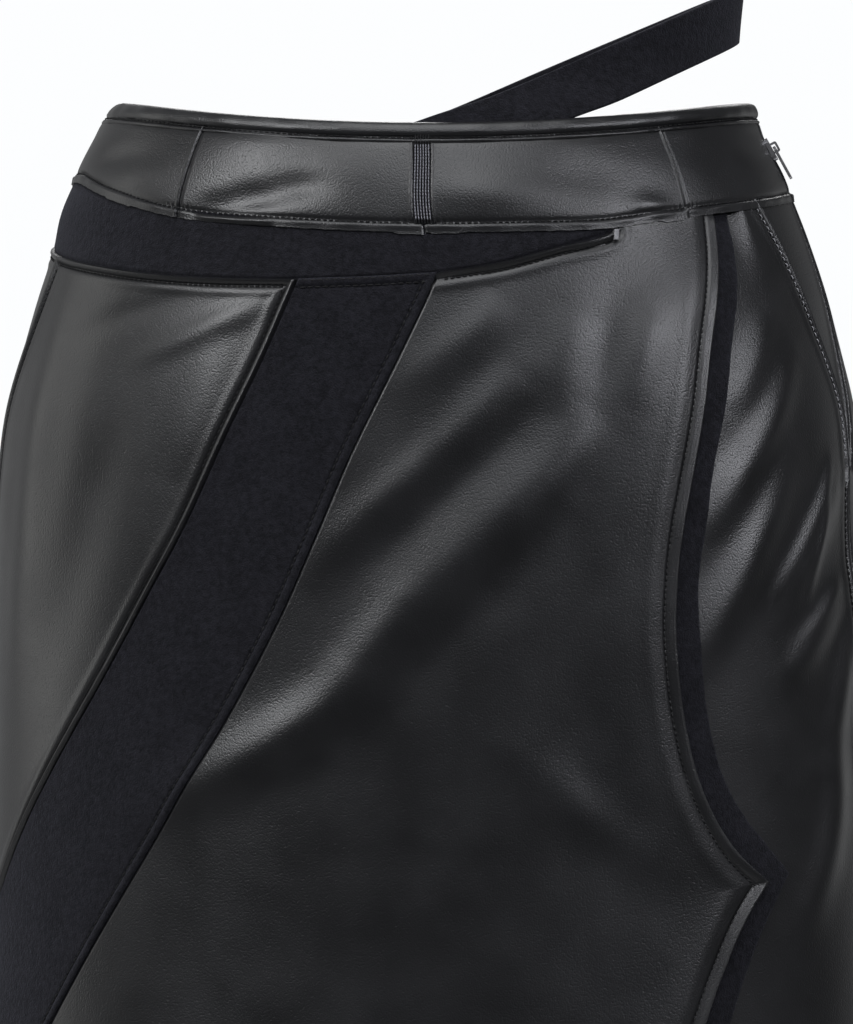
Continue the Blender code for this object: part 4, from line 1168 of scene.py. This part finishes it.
centre_right = centre_seam(CENTRE_BACK)
back_side = side_line(RIGHT_SIDE_SEAM)
side_points = on_rows(back_side)
row_shares = (side_points[:, 1] - side_points[0, 1]) / (side_points[-1, 1] - side_points[0, 1])
columns = steps_from(0.7, 5.0, 310.0, 6.0)
places = between_lines(
    line_round(panel_top, ZIP_SIDE, CENTRE_BACK),
    line_round(hem, side_points[-1, 0], CENTRE_BACK),
    lambda v: side_points, centre_right, row_shares, columns,
)
ZIP_END = 0.21
places, points, from_side = tucked_left(places, UNDER * (wrap_rows[:, None] > ZIP_END))
from_centre, from_hem = away_from(points, points[:, -1]), away_from(points, points[-1])
beside_zip = wrap_rows[:, None] < ZIP_END
height = np.where(beside_zip, folded_lip(from_side, 0.8), sunk(from_side))
height = height + folded_lip(from_centre, 0.8) + folded_hem(from_hem)
hang(
    "right_back_leather", "panel_back_right", places, height, np.minimum(height, 0) - LEATHER_THICK,
    (0.36, 0.78), 0.235, "waistband_back_right",
)

# The left back's top edge follows the waistband, and then the yoke's edge.
BACK_SEAM_TURNS = (-180.0, -165.0, -150.0, -142.0, -138.0, -135.0)
YOKE_SHARE = 0.54
seam_part = Line([(turn, panel_top(turn)) for turn in BACK_SEAM_TURNS] + [YOKE_EDGE_BACK[0]])
top_edge = joined(seam_part, Line(YOKE_EDGE_BACK), YOKE_SHARE)
side_left = Line(LEFT_SIDE_SEAM + (BAND_RIGHT_EDGE[-1], (LEFT_SIDE, hem(LEFT_SIDE))))
rows = steps_from(0.7, 4.0, 700.0, 5.0)
places = between_lines(
    top_edge, line_round(hem, -CENTRE_BACK, LEFT_SIDE), centre_seam(-CENTRE_BACK), side_left,
    rows, columns,
)
places = np.concatenate((places, beyond(places, -1, UNDER)), axis=1)
points = on_cloth(places)
from_centre, from_side = away_from(points, points[:, 0]), away_from(points, points[:, -2])
from_side[:, -1] *= -1
from_top, from_hem = away_from(points, points[0]), away_from(points, points[-1])
at_yoke = soft_step((places[..., 0] + 134.0) / 5.0) * (from_side > -0.5)
height = folded_lip(from_top, 1.2) * at_yoke + sunk(from_side)
height = height - 0.5 * soft_step((1.2 - from_centre) / 1.2) + folded_hem(from_hem)
hang(
    "left_back_leather", "panel_back_left", places, height, np.minimum(height, 0) - LEATHER_THICK,
    (0.34, 0.76), 0.193, "waistband_back_left",
)
back_rows = [
    edge_row(centre_right, 0.01, 0.985, STITCH_IN, 0.1, 900),
    edge_row(Line(YOKE_EDGE_BACK), 0.05, 0.98, STITCH_IN, 0.1),
    edge_row(Line(RIGHT_SIDE_SEAM), 0.02, 0.97, -STITCH_IN, 0.1),
]
stitching("thread_backs", back_rows, black_thread)
HEM_STITCH_UP = 15.0
hem_rows = []
for start, end in ((21.0, 269.5), (LEFT_SIDE + 1.5, 15.5)):
    places = line_round(hem, start, end)(np.linspace(0.0, 1.0, 1200)) - (0.0, HEM_STITCH_UP)
    turns = places[:, 0]
    # Near centre front the row runs up over the layers of the wrap.
    lap = soft_step((16.5 - turns) / 4.0) * soft_step((turns + 2.0) / 8.0)
    hem_rows.append((places, 0.45 + 3.0 * lap))
stitching("thread_hem", hem_rows, black_thread, pitch=3.6, length=2.7)

# ------------------------------
# Wool strap
# A strap of the same wool, sewn inside the waistband at the left front and behind the
# right, which rises to the right as a loose sling.

STRAP_WIDE, STRAP_THICK, STRAP_TURNS = 21.0, 1.8, (-22.0, 205.0)
STRAP_TILT, STRAP_BACK_RISE, STRAP_CENTRE = 0.396, 0.07, -15.2
STRAP_SEWN_HEIGHT, STRAP_FREE_HEIGHT, STRAP_SEWN_TURNS = -1.8, -2.7, 14.0

turns = np.linspace(*STRAP_TURNS, 260)
flat_form = form(turns, np.zeros(len(turns)))
rise = STRAP_CENTRE + STRAP_TILT * flat_form[:, 0] + STRAP_BACK_RISE * flat_form[:, 1]
half_tall = STRAP_WIDE / 2 / math.cos(math.atan(STRAP_TILT))
shares = np.concatenate((
    np.linspace(-1.0, -0.9, 5), np.linspace(-0.8, 0.8, 9), np.linspace(0.9, 1.0, 5),
))
turn, share = np.meshgrid(turns, shares)
drop = share * half_tall - rise
from_end = np.minimum(turn - STRAP_TURNS[0], STRAP_TURNS[1] - turn)
free = soft_step(from_end / STRAP_SEWN_TURNS)
middle = STRAP_SEWN_HEIGHT + (STRAP_FREE_HEIGHT - STRAP_SEWN_HEIGHT) * free - STRAP_THICK / 2
ease = 0.35 * np.sin(turn * 0.12) * free * share
body = STRAP_THICK / 2 * (1 - 0.55 * np.clip((np.abs(share) - 0.93) / 0.07, 0, 1)**2)
strap = sheet_mesh(
    "strap_felted_wool", cloth(turn, drop, middle + ease + body),
    cloth(turn, drop, middle + ease - body), wool, wool,
)
lay(
    strap, "strap_wool", "wool", flat=(0.483, 0.021), held="hung",
    rests_on=["waistband_front_left", "waistband_back_left"],
)

# ------------------------------
# Side zip
# A fine metal zip in the right side seam, closed, with its tape behind it. The slider
# and its swinging pull tab keep their solids' shape, in the plated metal.

ZIP_TEETH = (15.0, 143.0)
TOOTH_PITCH = 1.5
# A tooth is a small block, narrowest where it meshes.
TOOTH_SECTIONS = (
    # across, half_tall, low, high
    (-0.25, 0.42, -0.35, 0.45), (0.55, 0.62, -0.45, 0.55), (1.35, 0.55, -0.45, 0.35),
)
TAPE_HALF, TAPE_PAST_TEETH, TAPE_HEIGHT, TAPE_THICK = 6.0, 2, -1.15, 0.4


def zip_turn(drop):
    """The turn of the side seam at a drop, over the waistband and down the hip."""
    line = np.array(RIGHT_SIDE_SEAM)
    return np.interp(drop, line[:, 1], line[:, 0])


def metal_finish(name, dark, light, roughness):
    """Plated metal with fine rubbed scratches."""
    material, shader, position = new_material(name, {"Metallic": 1.0})
    rubs = position.noise(2400.0, 4.0)
    smears = position.noise(300.0, 2.0)
    feed(
        shader,
        Base_Color=smears.mix(dark, light),
        Roughness=roughness + 0.15 * rubs,
        Normal=rubs.bump(0.15, 0.00005),
    )
    return material


nickel = metal_finish(
    "nickel_plated", dark=(0.36, 0.36, 0.38), light=(0.56, 0.56, 0.58), roughness=0.22,
)

drops = np.arange(*ZIP_TEETH, TOOTH_PITCH)
points, faces = [], []
for k, at_drop in enumerate(drops):
    side_sign = 1 if k % 2 else -1
    turn = float(zip_turn(at_drop))
    for across, half_tall, low, high in TOOTH_SECTIONS:
        for down, level in ((-1, low), (1, low), (1, high), (-1, high)):
            step = side_sign * across / float(turn_mm(turn, at_drop))
            points.append(cloth(turn + step, at_drop + down * half_tall, level))
    base = 12 * k
    for i in range(2):
        for j in range(4):
            a, b = base + 4 * i + j, base + 4 * i + (j + 1) % 4
            faces.append((a, b, b + 4, a + 4) if side_sign < 0 else (a, a + 4, b + 4, b))
    ends = ((base, base + 3, base + 2, base + 1), (base + 8, base + 9, base + 10, base + 11))
    faces += [end if side_sign < 0 else end[::-1] for end in ends]
teeth = add_mesh("zip_teeth", points, faces, nickel)
bevel = teeth.modifiers.new("rounded", "BEVEL")
bevel.width = 0.00015
bevel.segments = 1
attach(teeth, "skirt")

drops = np.linspace(ZIP_TEETH[0] - TAPE_PAST_TEETH, ZIP_TEETH[1] + TAPE_PAST_TEETH, 90)
across = np.linspace(-TAPE_HALF, TAPE_HALF, 13)
drop, aside = np.meshgrid(drops, across, indexing="ij")
turn = zip_turn(drop) + aside / turn_mm(zip_turn(drop), drop)
tape = sheet_mesh(
    "zip_tape", cloth(turn, drop, turn * 0 + TAPE_HEIGHT),
    cloth(turn, drop, turn * 0 + TAPE_HEIGHT - TAPE_THICK), knit_backing, knit_backing,
)
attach(tape, "skirt")

for node in ("zip_slider", "zip_pull_tab"):
    metal_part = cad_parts[node]
    metal_part.data.materials.clear()
    metal_part.data.materials.append(nickel)

# ------------------------------
# Floor, light and camera
# A pale floor and even studio light: four soft lights from the front and above, a strip
# on the left, one from behind, and a white surround that gives little light itself.

FLOOR_HALF, FLOOR_HEIGHT = 1300.0, -930.0
floor_paint, floor_shader, position = new_material("floor_paint", {"Roughness": 0.8})
# The floor fades into the surround from about 0.5 m out, so no edge of it shows.
far_out = position.node("VectorMath", {"operation": "LENGTH"}, {0: position}, "Value")
feed(
    floor_shader, Base_Color=position.noise(3.0).mix((0.80, 0.80, 0.80), (0.84, 0.84, 0.84)),
    Alpha=1 - far_out.between(1.06, 1.5),
)
corners = [(x * FLOOR_HALF, y * FLOOR_HALF, FLOOR_HEIGHT)
           for x, y in ((-1, -1), (1, -1), (1, 1), (-1, 1))]
floor = add_mesh("floor", corners, [(0, 1, 2, 3)], floor_paint)

world = bpy.data.worlds.new("studio")
bpy.context.scene.world = world
world.use_nodes = True
tree = world.node_tree
sky = Wire(tree)
toward = sky.node("TexCoord", {}, {}, "Generated")


def glow(direction, low, high):
    """A soft brightening of the surround towards a direction."""
    facing = toward.node(
        "VectorMath", {"operation": "DOT_PRODUCT"}, {0: toward, 1: direction}, "Value",
    )
    return facing.between(low, high)


# Dim and uneven as a light, and plain white where it is looked at.
seen = sky.node("LightPath", {}, {}, "Is Camera Ray")
surround = 0.11 + 0.29 * glow((-0.80, 0.60, 0.0), 0.2, 0.95)
surround = surround + 0.45 * glow((0.70, 0.71, -0.1), 0.90, 1.0)
strength = surround * (1 - seen) + 1.0 * seen
tree.links.new(strength.socket, tree.nodes["Background"].inputs["Strength"])
tree.nodes["Background"].inputs["Color"].default_value = (0.98, 0.99, 1.0, 1.0)


AIM = Vector((0.0, 0.0, -0.2))
for name, place, size, power, colour, spread in (
    # A spread under 180 degrees keeps a light off the floor.
    ("key_left_above", (-1.5, -1.4, 1.1), (1.0, 1.0), 4.0, (0.97, 0.98, 1.0), 60.0),
    ("front_above", (0.3, -1.9, 1.3), (1.4, 0.7), 1.5, (0.93, 0.95, 1.0), 60.0),
    ("front_right", (1.6, -1.25, 0.72), (1.0, 0.6), 2.4, (0.93, 0.94, 1.0), 60.0),
    ("overhead", (-0.1, -1.0, 1.9), (1.8, 1.8), 6.0, (0.97, 0.98, 1.0), 60.0),
    ("left_strip", (-2.0, 0.3, 0.2), (0.7, 1.8), 7.0, (1.0, 1.0, 0.97), 180.0),
    ("back_above", (0.3, 1.9, 1.5), (1.5, 0.9), 24.0, (1.0, 1.0, 1.0), 180.0),
):
    lamp = bpy.data.lights.new(name, "AREA")
    lamp.shape = "RECTANGLE"
    lamp.size, lamp.size_y = size
    lamp.energy, lamp.color, lamp.spread = power, colour, math.radians(spread)
    light = add_object(name, lamp)
    light.location = place
    light.rotation_euler = (AIM - Vector(place)).to_track_quat("-Z", "Y").to_euler()
    light.visible_camera = False

camera_data = bpy.data.cameras.new("camera")
camera_data.lens = 205.3
camera_data.sensor_width = 36.0
camera_data.clip_end = 50.0
camera = add_object("camera", camera_data)
camera.location = (-0.0035, -2.4, -0.1673)
camera.rotation_euler = (math.radians(90.0), 0.0, 0.0)
bpy.context.scene.camera = camera
bpy.context.scene.view_settings.view_transform = "Standard"
